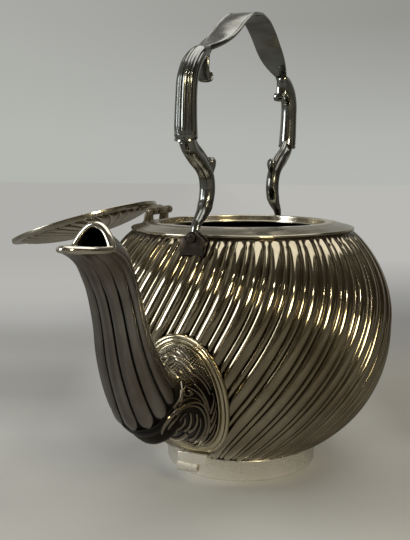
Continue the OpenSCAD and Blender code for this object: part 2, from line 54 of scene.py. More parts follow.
SHOULDER_H = (NECK_Z - BELLY_Z) / math.sqrt(1 - (NECK_R / BELLY_R) ** 2)
BASE_E = 2.3
BASE_H = (BELLY_Z - FOOT_H) / (1 - (FOOT_TOP_R / BELLY_R) ** 2) ** (1 / BASE_E)
# The spout's line, each row [out from the belly, height, half width across, half width in plane]
SPOUT = np.array([[-4, 53, 15.2, 20], [9, 53.9, 15.2, 18.8], [22, 58, 15.8, 18], [32.5, 65, 15.2, 16.2],
                  [40.4, 74, 14.2, 14.6], [46.9, 84, 13.1, 13.1], [51.6, 94, 12, 12], [54.8, 104, 10.9, 10.9],
                  [57.8, 113, 10.5, 10.3], [61.3, 121.5, 10.2, 10], [65.2, 128.3, 10.2, 10]], float)
SPOUT[:, 0] = -BELLY_R - SPOUT[:, 0]
SPOUT_LOBES, SPOUT_GROOVE, SPOUT_WALL = 12, 1.3, 1.2
MOUTH_LIP, MOUTH_SIDE, MOUTH_BACK, MOUTH_W = (-177.5, 136.9), (-158.2, 135.3), (-154.0, 144.0), 9.4

# The camera: its place in millimetres, its angles in radians, its near limit in metres, the size of its picture
# in pixels, and its directions on the floor
CAM_AT, CAM_TILT, CAM_YAW = (146.9, -393.4, 166.9), math.pi / 2 - 0.1394, math.radians(23.33)
CAM_LENS, CAM_SENSOR, CAM_NEAR = 49.49, 36.0, 0.01
PICTURE_W, PICTURE_H = 410, 540
AHEAD = (-math.sin(CAM_YAW), math.cos(CAM_YAW), 0)
RIGHTWARD = (math.cos(CAM_YAW), math.sin(CAM_YAW), 0)


# Small maths
def smoothstep(a, b, x):
    t = np.clip((np.asarray(x, float) - a) / (b - a), 0, 1)
    return t * t * (3 - 2 * t)


def smooth(path, steps):
    """Catmull-Rom curve through the rows of path, with that many steps between neighbours."""
    p = np.asarray(path, float)
    out = []
    for i in range(len(p) - 1):
        a, b, c, d = p[max(0, i - 1)], p[i], p[i + 1], p[min(len(p) - 1, i + 2)]
        for k in range(steps):
            t = k / steps
            out.append(0.5 * (2 * b + (c - a) * t + (2 * a - 5 * b + 4 * c - d) * t * t
                              + (3 * b - a - 3 * c + d) * t ** 3))
    out.append(p[-1])
    return np.array(out)


def hermite(w, start, leaving, end, arriving):
    """From start to end as w goes from 0 to 1, leaving and arriving with the given tangents."""
    return ((2 * w ** 3 - 3 * w * w + 1) * start + (w ** 3 - 2 * w * w + w) * leaving
            + (3 * w * w - 2 * w ** 3) * end + (w ** 3 - w * w) * arriving)


def length(v):
    return np.linalg.norm(v, axis=-1, keepdims=True)


def around(n):
    """n angles evenly round a circle."""
    return np.arange(n) * 2 * math.pi / n


def polar(r, a, z):
    """Points at radius r, angle a and height z, each a number or an array."""
    r, a, z = np.broadcast_arrays(r, a, z)
    return np.stack([r * np.cos(a), r * np.sin(a), z], -1)


def bowl_r(z):
    """The bowl's radius over its lobes at height z."""
    z = np.asarray(z, float)
    up = BELLY_R * np.sqrt(np.maximum(0, 1 - ((z - BELLY_Z) / SHOULDER_H) ** 2))
    low = BELLY_R * np.sqrt(np.maximum(0, 1 - (np.maximum(0, BELLY_Z - z) / BASE_H) ** BASE_E))
    return np.where(z > BELLY_Z, up, low)


def on_bowl(x, z, lift):
    """Points on the spout's side of the bowl, lifted along its normal."""
    r = bowl_r(z)
    y = np.sqrt(np.maximum(r * r - x * x, 0))
    s = bowl_r(z + 0.5) - bowl_r(z - 0.5)
    n = np.sqrt(1 + s * s)
    return np.stack([x + lift * x / r / n, -y - lift * y / r / n, z - lift * s / n], -1)


def turned(points, angle, x, z):
    """Turned about the Y direction through (x, z), in degrees, as the part's source turns lid and handle."""
    c, s = math.cos(math.radians(angle)), math.sin(math.radians(angle))
    p = np.array(points, float)
    dx, dz = p[..., 0] - x, p[..., 2] - z
    p[..., 0], p[..., 2] = x + dx * c + dz * s, z - dx * s + dz * c
    return p


def lid_pose(points):
    return turned(points, -LID_OPEN, -HINGE_X, HINGE_Z)


def leaning(points):
    return turned(points, LEAN, 0, PIVOT_Z)


LUMP_WAVES = 7


def lumps(p, size, seed):
    """Smooth wobble of at most 1.6 to either side over space, made of a few waves, the same on each run."""
    rng = np.random.default_rng(seed)
    out = np.zeros(p.shape[:-1])
    for _ in range(LUMP_WAVES):
        d = rng.normal(size=3)
        d /= np.linalg.norm(d)
        out += np.sin(p @ d * (2 * math.pi / size * rng.uniform(0.6, 1.6)) + rng.uniform(0, 6.3))
    return out / LUMP_WAVES * 1.6


# Meshes
CORNER_STEPS = 4


def quads(rows, cols, first=0, wrap_rows=False):
    """Faces of rows of points, each row closed into a ring."""
    i = np.arange(rows if wrap_rows else rows - 1)[:, None]
    k = np.arange(cols)[None, :]
    j, l = (i + 1) % rows, (k + 1) % cols
    return np.stack([i * cols + k, i * cols + l, j * cols + l, j * cols + k], -1).reshape(-1, 4) + first


def add(name, data):
    """A new object in the scene."""
    ob = bpy.data.objects.new(name, data)
    bpy.context.scene.collection.objects.link(ob)
    return ob


def piece(name, points, faces, body, look, replaces=(), cavity=None):
    """One closed mesh. faces is a list of index arrays. cavity is how deep each point lies, from 0 to 1."""
    points = np.asarray(points, float).reshape(-1, 3)
    faces = [np.atleast_2d(f) for f in faces]
    tris = np.concatenate([f[:, [0, i, i + 1]] for f in faces for i in range(1, f.shape[1] - 1)])
    a, b, c = points[tris[:, 0]], points[tris[:, 1]], points[tris[:, 2]]
    if np.einsum("ij,ij->i", a, np.cross(b, c)).sum() < 0:
        faces = [f[:, ::-1] for f in faces]
    me = bpy.data.meshes.new(name)
    me.vertices.add(len(points))
    me.vertices.foreach_set("co", (points * MM).astype(np.float32).ravel())
    sizes = np.concatenate([np.full(len(f), f.shape[1]) for f in faces])
    flat = np.concatenate([f.ravel() for f in faces]).astype(np.int32)
    me.loops.add(len(flat))
    me.loops.foreach_set("vertex_index", flat)
    me.polygons.add(len(sizes))
    me.polygons.foreach_set("loop_start", np.concatenate([[0], np.cumsum(sizes)[:-1]]).astype(np.int32))
    me.polygons.foreach_set("loop_total", sizes.astype(np.int32))
    me.update(calc_edges=True)
    me.validate()
    me.polygons.foreach_set("use_smooth", np.ones(len(me.polygons), bool))
    if cavity is not None:
        at = me.attributes.new("cavity", "FLOAT", "POINT")
        at.data.foreach_set("value", np.asarray(cavity, np.float32).ravel())
    ob = add(name, me)
    me.materials.append(look)
    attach(ob, body)
    if replaces:
        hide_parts(*replaces)
    return ob


def line_inside(ob, *spans):
    """Gives those spans of a piece's faces the near-black material of the inside, which is painted shade."""
    ob.data.materials.append(INSIDE_SHADE)
    index = np.zeros(len(ob.data.polygons), np.int32)
    for first, last in spans:
        index[first:last] = 1
    ob.data.polygons.foreach_set("material_index", index)


def skin(rings, joined=False):
    """Points and faces of a skin over rings of equal length, closed at both ends or joined end to end."""
    p = np.asarray(rings, float)
    m, n = p.shape[:2]
    faces = [quads(m, n, wrap_rows=joined)]
    if not joined:
        faces += [np.arange(n)[::-1][None], ((m - 1) * n + np.arange(n))[None]]
    return p.reshape(-1, 3), faces


def revolve(profile, n):
    """A closed profile of [radius, z] turned about Z."""
    pr = np.asarray(profile, float)
    return polar(pr[:, :1], around(n), pr[:, 1:]).reshape(-1, 3), [quads(len(pr), n, wrap_rows=True)]


def turned_solid(profile, n):
    """A profile of [radius, z] that starts and ends on the axis, turned about Z."""
    pr = np.asarray(profile, float)
    mid = pr[1:-1]
    p = polar(mid[:, :1], around(n), mid[:, 1:]).reshape(-1, 3)
    p = np.concatenate([p, [[0, 0, pr[0, 1]], [0, 0, pr[-1, 1]]]])
    k = np.arange(n)
    c = len(mid) * n
    ends = [np.stack([np.full(n, c), (k + 1) % n, k], -1),
            np.stack([np.full(n, c + 1), c - n + k, c - n + (k + 1) % n], -1)]
    return p, [quads(len(mid), n)] + ends


def rounded(corners, radius):
    """A closed outline with its corners rounded; corners are [x, y] or [x, y, its own radius]."""
    out = []
    m = len(corners)
    for i, c in enumerate(corners):
        r = c[2] if len(c) > 2 else radius
        q, a, b = (np.array(v[:2], float) for v in (c, corners[i - 1], corners[(i + 1) % m]))
        if r <= 0:
            out.append(q)
            continue
        u, v = a - q, b - q
        lu, lv = np.linalg.norm(u), np.linalg.norm(v)
        d = min(r, 0.45 * lu, 0.45 * lv)
        p0, p1 = q + u / lu * d, q + v / lv * d
        for t in np.linspace(0, 1, CORNER_STEPS + 1):
            out.append((1 - t) ** 2 * p0 + 2 * t * (1 - t) * q + t * t * p1)
    return np.array(out)


def heading(p):
    """The direction of a path in its plane at each of its points, in radians."""
    d = np.gradient(np.asarray(p, float)[:, :2], axis=0)
    return np.arctan2(d[:, 1], d[:, 0])


def set_ring(y, z, ang, across, inplane):
    """Section points [across, in plane] set square to a path in the YZ plane."""
    return np.stack([across, y - inplane * math.sin(ang), z + inplane * math.cos(ang)], -1)


# Lobes: round ridges side by side, as on bowl, spout and lid
LOBE_FULL = 0.97


def across_lobe(n):
    """n places across a lobe from -1 towards 1, closer together at its edges, without the last edge."""
    return np.sin(np.linspace(-1, 1, n + 1)[:-1] * math.pi / 2)


def lobe_drop(x):
    """How far a lobe has fallen at place x, from 0 on its ridge to 1 at its edges."""
    x = np.clip(np.abs(x), 0, 1)
    return (1 - np.sqrt(1 - (LOBE_FULL * x) ** 2)) / (1 - math.sqrt(1 - LOBE_FULL ** 2))


def lobe_end(along):
    """The share of its width that a lobe has near its round end; along is 0 at the tip and 1 at full width."""
    return np.sqrt(np.clip(1 - np.clip(1 - along, 0, 1) ** 2, 0, 1))


def lobe_fall(x, grow):
    """As lobe_drop, for a lobe that has the share grow of its width."""
    return 1 - (1 - lobe_drop(x / np.maximum(grow, 1e-3))) * grow


# Materials
class Tree:
    """The nodes of a material or a world, with short calls to add to them."""

    def __init__(self, owner):
        owner.use_nodes = True
        self.owner, self.nt = owner, owner.node_tree
        self.nt.nodes.clear()

    def node(self, kind, sets=None, **links):
        n = self.nt.nodes.new(kind)
        for k, v in (sets or {}).items():
            if k in n.inputs.keys():
                n.inputs[k].default_value = v
            else:
                setattr(n, k, v)
        for k, v in links.items():
            self.nt.links.new(v, n.inputs[k.replace("_", " ")])
        return n

    def link(self, a, b):
        self.nt.links.new(a, b)

    def ramp(self, fac, stops):
        """A colour ramp of (place, colour or grey)."""
        n = self.nt.nodes.new("ShaderNodeValToRGB")
        el = n.color_ramp.elements
        while len(el) < len(stops):
            el.new(0.5)
        for e, (pos, col) in zip(el, stops):
            e.position = pos
            e.color = (*col, 1) if hasattr(col, "__len__") else (col, col, col, 1)
        self.link(fac, n.inputs["Fac"])
        return n.outputs["Color"]

    def noise(self, vector, scale, detail=4, rough=0.55, distortion=0.0):
        n = self.node("ShaderNodeTexNoise",
                      {"Scale": scale, "Detail": detail, "Roughness": rough, "Distortion": distortion})
        self.link(vector, n.inputs["Vector"])
        return n.outputs["Fac"]

    def math(self, op, a, b=0.5, clamp=False):
        n = self.nt.nodes.new("ShaderNodeMath")
        n.operation = op
        n.use_clamp = clamp
        for i, v in enumerate((a, b)):
            if isinstance(v, (int, float)):
                n.inputs[i].default_value = v
            else:
                self.link(v, n.inputs[i])
        return n.outputs[0]

    def along(self, vector, direction):
        """How far a place lies along a fixed direction."""
        n = self.node("ShaderNodeVectorMath", {"operation": "DOT_PRODUCT"})
        self.link(vector, n.inputs[0])
        n.inputs[1].default_value = direction
        return n.outputs["Value"]

    def half(self, value):
        """A value of -1 to 1 moved to 0 to 1."""
        return self.math("ADD", self.math("MULTIPLY", value, 0.5), 0.5)

    def mix(self, fac, a, b):
        n = self.nt.nodes.new("ShaderNodeMix")
        n.data_type = "RGBA"
        self.link(fac, n.inputs["Factor"])
        for key, v in (("A", a), ("B", b)):
            s = [i for i in n.inputs if i.name == key and i.type == "RGBA"][0]
            if hasattr(v, "__len__"):
                s.default_value = (*v, 1)
            else:
                self.link(v, s)
        return [o for o in n.outputs if o.type == "RGBA"][0]

    def blend(self, fac, a, b):
        """One shader over another."""
        n = self.node("ShaderNodeMixShader")
        for i, v in enumerate((fac, a, b)):
            self.link(v, n.inputs[i])
        return n.outputs[0]


# What all the silvers have in common
HAIR_SCALE, DENT_SCALE = (900, 900, 160), 60.0
DULL_AT, COPPER_AT = (0.42, 0.66), (0.55, 0.75)
COPPER_SHARE, HOLLOW_SPREAD, HOLLOW_ROUGH, HAIR_ROUGH = 0.5, 0.5, 0.22, 0.06


def silver(name, bright, dull, tarnish, rough, patch=28.0, wave=0.25, cavity_from=0.35, warm=None, metal=1.0):
    """Worn silver plate: bright metal, dull patches, tarnish in the hollows, soft dents and fine scratches."""
    t = Tree(bpy.data.materials.new(name))
    co = t.node("ShaderNodeTexCoord").outputs["Object"]
    big = t.noise(co, patch, 5, 0.6, 0.3)
    mid = t.noise(co, patch * 6, 4, 0.6)
    hair = t.node("ShaderNodeMapping", {"Scale": HAIR_SCALE})
    t.link(co, hair.inputs["Vector"])
    scratch = t.noise(hair.outputs["Vector"], 1.0, 3, 0.7)
    cav = t.node("ShaderNodeAttribute", {"attribute_name": "cavity"}).outputs["Fac"]
    dull_fac = t.ramp(big, [(DULL_AT[0], 0.0), (DULL_AT[1], 1.0)])
    base = t.mix(dull_fac, bright, dull)
    if warm:
        copper = t.ramp(mid, [(COPPER_AT[0], 0.0), (COPPER_AT[1], 1.0)])
        base = t.mix(t.math("MULTIPLY", copper, COPPER_SHARE), base, warm)
    spread = t.math("ADD", cav, t.math("MULTIPLY", t.math("SUBTRACT", mid, 0.5), HOLLOW_SPREAD))
    deep = t.ramp(spread, [(cavity_from, 0.0), (min(1.0, cavity_from + 0.5), 1.0)])
    r = t.math("ADD", t.math("MULTIPLY", dull_fac, rough[1] - rough[0]), rough[0])
    r = t.math("ADD", r, t.math("MULTIPLY", deep, HOLLOW_ROUGH))
    r = t.math("ADD", r, t.math("MULTIPLY", t.math("SUBTRACT", scratch, 0.5), HAIR_ROUGH), clamp=True)
    dents = t.noise(co, DENT_SCALE, 2, 0.5)
    b1 = t.node("ShaderNodeBump", {"Strength": wave, "Distance": 0.0006}, Height=dents)
    b2 = t.node("ShaderNodeBump", {"Strength": 0.08, "Distance": 0.0001}, Height=scratch, Normal=b1.outputs["Normal"])
    p = t.node("ShaderNodeBsdfPrincipled", {"Metallic": metal})
    t.link(t.mix(deep, base, tarnish), p.inputs["Base Color"])
    t.link(r, p.inputs["Roughness"])
    t.link(b2.outputs["Normal"], p.inputs["Normal"])
    t.node("ShaderNodeOutputMaterial", Surface=p.outputs["BSDF"])
    return t.owner


# Each silver: bright, dull and tarnished colour, then the least and most roughness
BOWL = silver("bowl_silver", (0.46, 0.41, 0.30), (0.28, 0.235, 0.16), (0.035, 0.026, 0.018), (0.07, 0.17),
              wave=0.2, cavity_from=0.25)
# Near-black painted shade for the inside of bowl and spout, not the silver's own colour
INSIDE_SHADE = silver("inside_painted_shade", (0.026, 0.015, 0.009), (0.012, 0.008, 0.006), (0.008, 0.006, 0.006), (0.4, 0.6))
FOOTM = silver("foot_silver", (0.90, 0.87, 0.78), (0.78, 0.74, 0.64), (0.3, 0.25, 0.18), (0.2, 0.32),
               wave=0.1, metal=0.7)
COLLARM = silver("collar_silver", (0.50, 0.46, 0.36), (0.31, 0.27, 0.19), (0.07, 0.055, 0.04), (0.14, 0.26))
RIMM = silver("rim_silver", (0.82, 0.77, 0.64), (0.60, 0.54, 0.41), (0.12, 0.10, 0.07), (0.14, 0.26))
MOULDM = silver("moulding_silver", (0.86, 0.79, 0.58), (0.60, 0.52, 0.36), (0.035, 0.027, 0.02), (0.12, 0.24),
                cavity_from=0.25)
SPOUTM = silver("spout_silver", (0.34, 0.33, 0.31), (0.19, 0.155, 0.125), (0.006, 0.006, 0.006), (0.14, 0.30),
                patch=20.0, wave=0.35, cavity_from=0.16)
BRIGHT = silver("bright_silver", (0.80, 0.76, 0.66), (0.52, 0.47, 0.38), (0.12, 0.09, 0.06), (0.1, 0.24))
CHASED = silver("chased_silver", (0.40, 0.355, 0.27), (0.20, 0.17, 0.13), (0.009, 0.007, 0.005), (0.14, 0.26),
                wave=0.3, cavity_from=0.24)
DARK = silver("dark_silver", (0.13, 0.12, 0.10), (0.075, 0.06, 0.048), (0.016, 0.013, 0.01), (0.16, 0.36),
              patch=120.0, warm=(0.26, 0.13, 0.07))
LID = silver("lid_silver", (0.60, 0.56, 0.46), (0.38, 0.33, 0.245), (0.04, 0.033, 0.026), (0.14, 0.28))
HINGE = silver("hinge_silver", (0.34, 0.29, 0.19), (0.18, 0.15, 0.10), (0.03, 0.025, 0.02), (0.18, 0.34))
HANDLE = silver("handle_silver", (0.30, 0.31, 0.29), (0.16, 0.155, 0.135), (0.022, 0.02, 0.018), (0.14, 0.28),
                wave=0.3)

# Bowl
LOBE_SHARE, LOBE_POINTS, REED_POINTS = 0.68, 13, 7
LOBE_TOP, LOBE_END, REED_END, REED_SINK = 1.0, 4.2, 2.4, 0.4
BOWL_ROWS, INSIDE_ROWS, EVEN_ROWS = 136, 34, 0.62
NECK_ROWS = [0, 0.5, 1.0, 1.35, 1.7, 2.1, 2.5, 2.9, 3.4, 3.9, 4.5, 5.2, 6.0]
BOWL_DENT, BOWL_DENT_SIZE, BOWL_DENT_SEED = 0.0011, 46.0, 5


def lobe_row():
    """Shares of one pitch of the bowl, whether each lies on a lobe or a reed, and its place across that."""
    lobe, reed = across_lobe(LOBE_POINTS), across_lobe(REED_POINTS)
    share = np.concatenate([LOBE_SHARE * (lobe + 1) / 2, LOBE_SHARE + (1 - LOBE_SHARE) * (reed + 1) / 2])
    return share, np.arange(len(share)) < LOBE_POINTS, np.concatenate([lobe, reed])


def make_bowl():
    s, wide, x = lobe_row()
    n = FLUTES * len(s)
    share = (np.arange(FLUTES)[:, None] + s[None]).ravel()
    wide, x = np.tile(wide, FLUTES), np.tile(x, FLUTES)
    u = np.linspace(0, 1, BOWL_ROWS)
    z = FOOT_H + (NECK_Z - FOOT_H) * (1 - (EVEN_ROWS * u + (1 - EVEN_ROWS) * (1 - np.cos(math.pi * u)) / 2))
    z = np.concatenate([NECK_Z - np.array(NECK_ROWS), z[z < NECK_Z - NECK_ROWS[-1] - 0.6]])
    depth = FLUTE_DEPTH * np.minimum(1, 0.25 + (NECK_Z - z) / 7)
    rows, cav = [], []
    for zi, d in zip(z, depth):
        turn = SWIRL * (max(0, NECK_Z - zi) / (NECK_Z - FOOT_H)) ** SWIRL_E
        a = (share * 360 / FLUTES - turn) * math.pi / 180
        grow = lobe_end((NECK_Z - LOBE_TOP - zi) / np.where(wide, LOBE_END, REED_END))
        h = 1 - (1 - np.where(wide, 0.0, REED_SINK)) * (1 - lobe_fall(x, grow))
        rows.append(polar(float(bowl_r(zi)) - d * h, a, zi))
        cav.append(np.clip((h - 0.45) / 0.55, 0, 1) * np.where(grow > 0, 1, 0.6))
    rows, cav = np.array(rows), np.array(cav)
    rows[:, :, :2] *= (1 + BOWL_DENT * lumps(rows, BOWL_DENT_SIZE, BOWL_DENT_SEED))[..., None]
    base = polar(FOOT_TOP_R - 4, around(n), FOOT_H)
    zin = NECK_Z + (FOOT_H + WALL - NECK_Z) * np.sin(np.linspace(0, 1, INSIDE_ROWS) * math.pi / 2) ** 1.3
    rin = bowl_r(zin) - FLUTE_DEPTH - WALL
    inner = polar(rin[:, None], around(n), zin[:, None])
    points = np.concatenate([rows.reshape(-1, 3), base, inner.reshape(-1, 3)])
    m, q, k = len(rows) + 1, len(inner), np.arange(n)
    first = m * n
    outside = quads(m, n)
    rim = np.stack([k, first + k, first + (k + 1) % n, (k + 1) % n], -1)
    faces = [outside, quads(q, n, first)[:, ::-1], rim[:, ::-1],
             ((m - 1) * n + k)[None, ::-1], (first + (q - 1) * n + k)[None]]
    cavity = np.concatenate([cav.ravel(), np.ones(n), np.zeros(q * n)])
    ob = piece("bowl_sheet", points, faces, "kettle", BOWL, ("bowl",), cavity)
    line_inside(ob, (len(outside), len(outside) + (q - 1) * n), (-1, None))


make_bowl()

# Collar, rim and foot
RING_POINTS = 264
collar = rounded([[NECK_R - 2.4, NECK_Z - 0.1, 0], [NECK_R + 0.4, NECK_Z - 0.25], [NECK_R + 0.95, NECK_Z + 0.55],
                  [NECK_R + 0.45, NECK_Z + 1.35], [NECK_R - 0.6, NECK_Z + 1.3], [RIM_R + 4, RIM_Z - 1.0, 2.0],
                  [RIM_R - 0.4, RIM_Z - 0.15, 0], [RIM_R - 0.4, RIM_Z - 1.5, 0]], 0.6)
p, f = revolve(collar, RING_POINTS)
p[:, 2] += 0.12 * lumps(p, 60.0, 3)
piece("collar_band", p, f, "kettle", COLLARM, ("neck_collar",))
rim = rounded([[OPENING_R, LEDGE_Z - 1.2, 0.3], [RIM_R - 0.3, LEDGE_Z - 1.2, 0], [RIM_R - 0.1, RIM_Z - 0.2, 0.3],
               [RIM_R - 1.2, RIM_Z + 0.12, 0.8], [RECESS_R, RIM_Z + 0.05, 0.6], [RECESS_R, LEDGE_Z, 0.3],
               [OPENING_R, LEDGE_Z, 0.3]], 0.3)
p, f = revolve(rim, RING_POINTS)
piece("rim_band", p, f, "kettle", RIMM, ("rim_ring",))
foot = rounded([[FOOT_REST_R - FOOT_T, 0, 0.3], [FOOT_REST_R, 0, 0.5], [FOOT_REST_R, 2.0, 0.6],
                [FOOT_REST_R + 0.7, 6.5, 3.0], [FOOT_TOP_R - 0.2, FOOT_H - 1.2, 0.8],
                [FOOT_TOP_R + 0.3, FOOT_H - 0.4, 0.4], [FOOT_TOP_R, FOOT_H + 0.1, 0.2],
                [FOOT_TOP_R - FOOT_T, FOOT_H + 0.1, 0], [FOOT_REST_R - FOOT_T, 2.0, 1.0]], 0.4)
p, f = revolve(foot, RING_POINTS)
piece("foot_band", p, f, "kettle", FOOTM, ("foot_ring",))

# Spout: its steps between stations, where its core begins, and where the lobes' tips end on the root
SPOUT_STEPS, CORE_FROM, TIP_AT = 8, 17, 27
SPOUT_LOBE_POINTS, MOUTH_STEPS = 16, 20
SP = smooth(SPOUT, SPOUT_STEPS)
SP_ANG = heading(SP)


def lobe_angles():
    """Angles round the spout, and the place of each across its lobe."""
    xi = across_lobe(SPOUT_LOBE_POINTS)
    t = ((np.arange(SPOUT_LOBES)[:, None] + xi[None] / 2) * 2 * math.pi / SPOUT_LOBES).ravel()
    return t, np.tile(xi, SPOUT_LOBES)


LT, LX = lobe_angles()


def mouth_ring(inset, t):
    """The oblique mouth's edge at angles t, from its low front lip to its high back."""
    s, c = np.sin(t), np.cos(t)
    u, front = np.abs(s), s < 0
    end_y = np.where(front, MOUTH_LIP[0] + inset, MOUTH_BACK[0] - inset)
    end_z = np.where(front, MOUTH_LIP[1], MOUTH_BACK[1])
    return np.stack([(MOUTH_W - inset) * c * np.where(front, 1 - 0.1 * u * u, 1),
                     MOUTH_SIDE[0] + (end_y - MOUTH_SIDE[0]) * u ** np.where(front, 1.3, 1.0),
                     MOUTH_SIDE[1] + (end_z - MOUTH_SIDE[1]) * u ** np.where(front, 2.0, 1.7)], -1)


def spout_rings(inset, groove):
    """Rings from inside the chased root to the mouth. Where groove isn't 0, lobes end in tongues at the root."""
    rings, cav = [], []
    last = len(SP) - 1
    for i in range(CORE_FROM, last + 1):
        y, z, a, b = SP[i]
        fade = 1 - 0.45 * float(smoothstep(last - 12, last, i))
        off, d = inset, np.zeros(len(LT))
        if groove:
            d = lobe_fall(LX, lobe_end((i - (TIP_AT - 0.6 + 0.9 * np.sin(LT))) / 4.0))
            off = inset + 3.0 * float(smoothstep(TIP_AT - 2.5, CORE_FROM, i)) + groove * (d * fade)
        rings.append(set_ring(y, z, SP_ANG[i], (a - off) * np.cos(LT), -(b - off) * np.sin(LT)))
        cav.append(np.clip((d - 0.35) / 0.65, 0, 1) * fade)
    base, before = rings[-1], rings[-2]
    mouth = mouth_ring(inset + groove * 0.3, LT)
    span = mouth - base
    leaving = (base - before) / length(base - before) * length(span) * 0.9
    for w in np.linspace(0, 1, MOUTH_STEPS)[1:]:
        rings.append(hermite(w, base, leaving, mouth, span * [1.7, 1.7, 0.75]))
        cav.append(cav[-1] * 0.93)
    return rings, cav


outer, cav = spout_rings(0, SPOUT_GROOVE)
inner, _ = spout_rings(SPOUT_GROOVE + SPOUT_WALL, 0)
p, f = skin(outer + inner[::-1], joined=True)
cav = np.concatenate([np.array(cav).ravel(), np.zeros(len(inner) * len(LT))])
ob = piece("spout_body", p, f, "kettle", SPOUTM, ("spout",), cav)
line_inside(ob, (len(outer) * len(LT), None))

MOUTH_OUT, LIP_R, LIP_POINTS, LIP_SECTION = np.array([0, -0.4, 0.9165]), 1.4, 144, 16


def make_lip():
    """The thick round lip, swept round the mouth."""
    ring = mouth_ring(1.2, around(LIP_POINTS))
    for _ in range(2):
        ring = (np.roll(ring, 1, 0) + 2 * ring + np.roll(ring, -1, 0)) / 4
    d = np.roll(ring, -2, 0) - np.roll(ring, 2, 0)
    d /= length(d)
    u = np.cross(d, MOUTH_OUT)
    u /= length(u)
    v = np.cross(u, d)
    r = LIP_R * (1 + 0.08 * lumps(ring, 14.0, 8))[:, None]
    return np.stack([ring + MOUTH_OUT * (LIP_R - 0.2) + r * (u * math.cos(q) * 1.12 + v * math.sin(q))
                     for q in around(LIP_SECTION)], 1)


p, f = skin(make_lip(), joined=True)
piece("spout_rim", p, f, "kettle", BRIGHT, ("spout_lip",))


# Chased root and its moulding
def on_picture(points):
    """Where points lie in the camera's picture, in pixels. The far side takes the near side's place there."""
    p = np.array(points, float)
    p[..., 0] = np.abs(p[..., 0])
    turn = Matrix.Rotation(CAM_YAW, 3, "Z") @ Matrix.Rotation(CAM_TILT, 3, "X")
    q = (p - np.array(CAM_AT)) @ np.array(turn)
    k = CAM_LENS / CAM_SENSOR * PICTURE_H
    return PICTURE_W / 2 + k * q[..., 0] / -q[..., 2], PICTURE_H / 2 - k * q[..., 1] / -q[..., 2]


# Strokes of the chasing: height in millimetres, half width at start and end, then the points of the line.
# Lines are drawn at CHASE_SCALE units to one pixel of the picture, from its point (CHASE_X, CHASE_Y).
CHASE_X, CHASE_Y, CHASE_SCALE = 125, 310, 9.225
STROKES = [
    (1.0, 14, 13, (352, 1275), (333, 1215), (330, 1160), (348, 1085), (400, 1008), (470, 932), (552, 876), (640, 852),
     (706, 872), (748, 930), (768, 1008), (768, 1085), (738, 1165), (688, 1232), (622, 1276)),
    (0.75, 10, 12, (470, 960), (520, 915), (596, 886), (668, 892), (716, 940), (740, 1010), (740, 1085),
     (706, 1160), (650, 1220)),
    (0.7, 12, 5, (372, 1196), (380, 1122), (420, 1058), (470, 1000), (500, 960)),
    (0.9, 17, 8, (560, 1148), (506, 1184), (446, 1190), (402, 1160), (396, 1118), (430, 1092), (466, 1108),
     (460, 1140), (438, 1142)),
    (0.7, 5, 12, (545, 1000), (548, 1035), (520, 1075), (470, 1102)),
    (0.7, 5, 13, (600, 960), (606, 1020), (586, 1080), (546, 1112)),
    (0.7, 5, 13, (655, 960), (662, 1030), (636, 1090), (590, 1120)),
    (0.6, 4, 12, (690, 1000), (694, 1060), (672, 1120), (640, 1170), (600, 1190)),
    (0.6, 4, 10, (560, 950), (520, 990), (486, 1040)),
    (0.8, 14, 10, (366, 1206), (440, 1232), (520, 1224), (556, 1240), (534, 1276), (456, 1302), (380, 1306),
     (300, 1296)),
    (0.6, 8, 5, (250, 1280), (276, 1240), (300, 1190), (312, 1150)),
    (0.6, 8, 5, (196, 1240), (236, 1220), (276, 1180)),
    (0.6, 10, 4, (560, 1262), (590, 1236), (640, 1226), (700, 1190), (740, 1150)),
    (0.6, 12, 4, (610, 1290), (680, 1262), (760, 1200), (815, 1125), (838, 1050)),
    (0.6, 11, 4, (690, 1276), (750, 1238), (812, 1180), (842, 1120)),
    (0.7, 14, 4, (778, 1120), (812, 1060), (836, 990), (842, 930)),
    (0.7, 13, 4, (790, 1030), (816, 970), (832, 900), (836, 850)),
    (0.7, 12, 3, (786, 950), (806, 890), (816, 820), (806, 770)),
    (0.7, 5, 15, (640, 690), (704, 756), (748, 838), (768, 920)),
    (0.7, 5, 15, (566, 712), (634, 740), (700, 800), (742, 880), (752, 930)),
    (0.6, 12, 5, (500, 880), (540, 836), (600, 812), (660, 822), (700, 850)),
    (0.7, 5, 14, (592, 690), (556, 706), (534, 746), (552, 786), (596, 792), (614, 766), (590, 748)),
    (0.6, 12, 4, (452, 900), (486, 852), (508, 800), (512, 740)),
    (0.6, 10, 4, (510, 860), (528, 800), (522, 720), (512, 660)),
    (0.6, 9, 3, (346, 470), (392, 530), (440, 584), (496, 630)),
    (0.6, 9, 3, (470, 450), (530, 500), (590, 556), (640, 620)),
    (0.6, 8, 3, (420, 400), (480, 440), (560, 470), (640, 560)),
    (0.5, 7, 3, (500, 560), (560, 600), (620, 650), (660, 700)),
    (0.5, 8, 3, (480, 380), (512, 410), (518, 450)),
    (0.5, 8, 3, (520, 380), (560, 420), (580, 460)),
    (0.5, 8, 3, (400, 350), (450, 350), (500, 370)),
    (0.5, 8, 3, (330, 350), (370, 330), (420, 330)),
    (0.6, 10, 4, (640, 600), (690, 640), (740, 700), (780, 780)),
    (0.5, 8, 4, (640, 540), (700, 600), (750, 660), (790, 730)),
]

# The chasing's fine matted ground, the groove round each stroke, and the band that lies higher up
MAT_HEIGHT, GROOVE_DEPTH, GROOVE_AT, GROOVE_W = 0.34, 0.3, 1.25, 0.3
UPPER_FADE, UPPER_RISE = (760, 600), (280, 340)


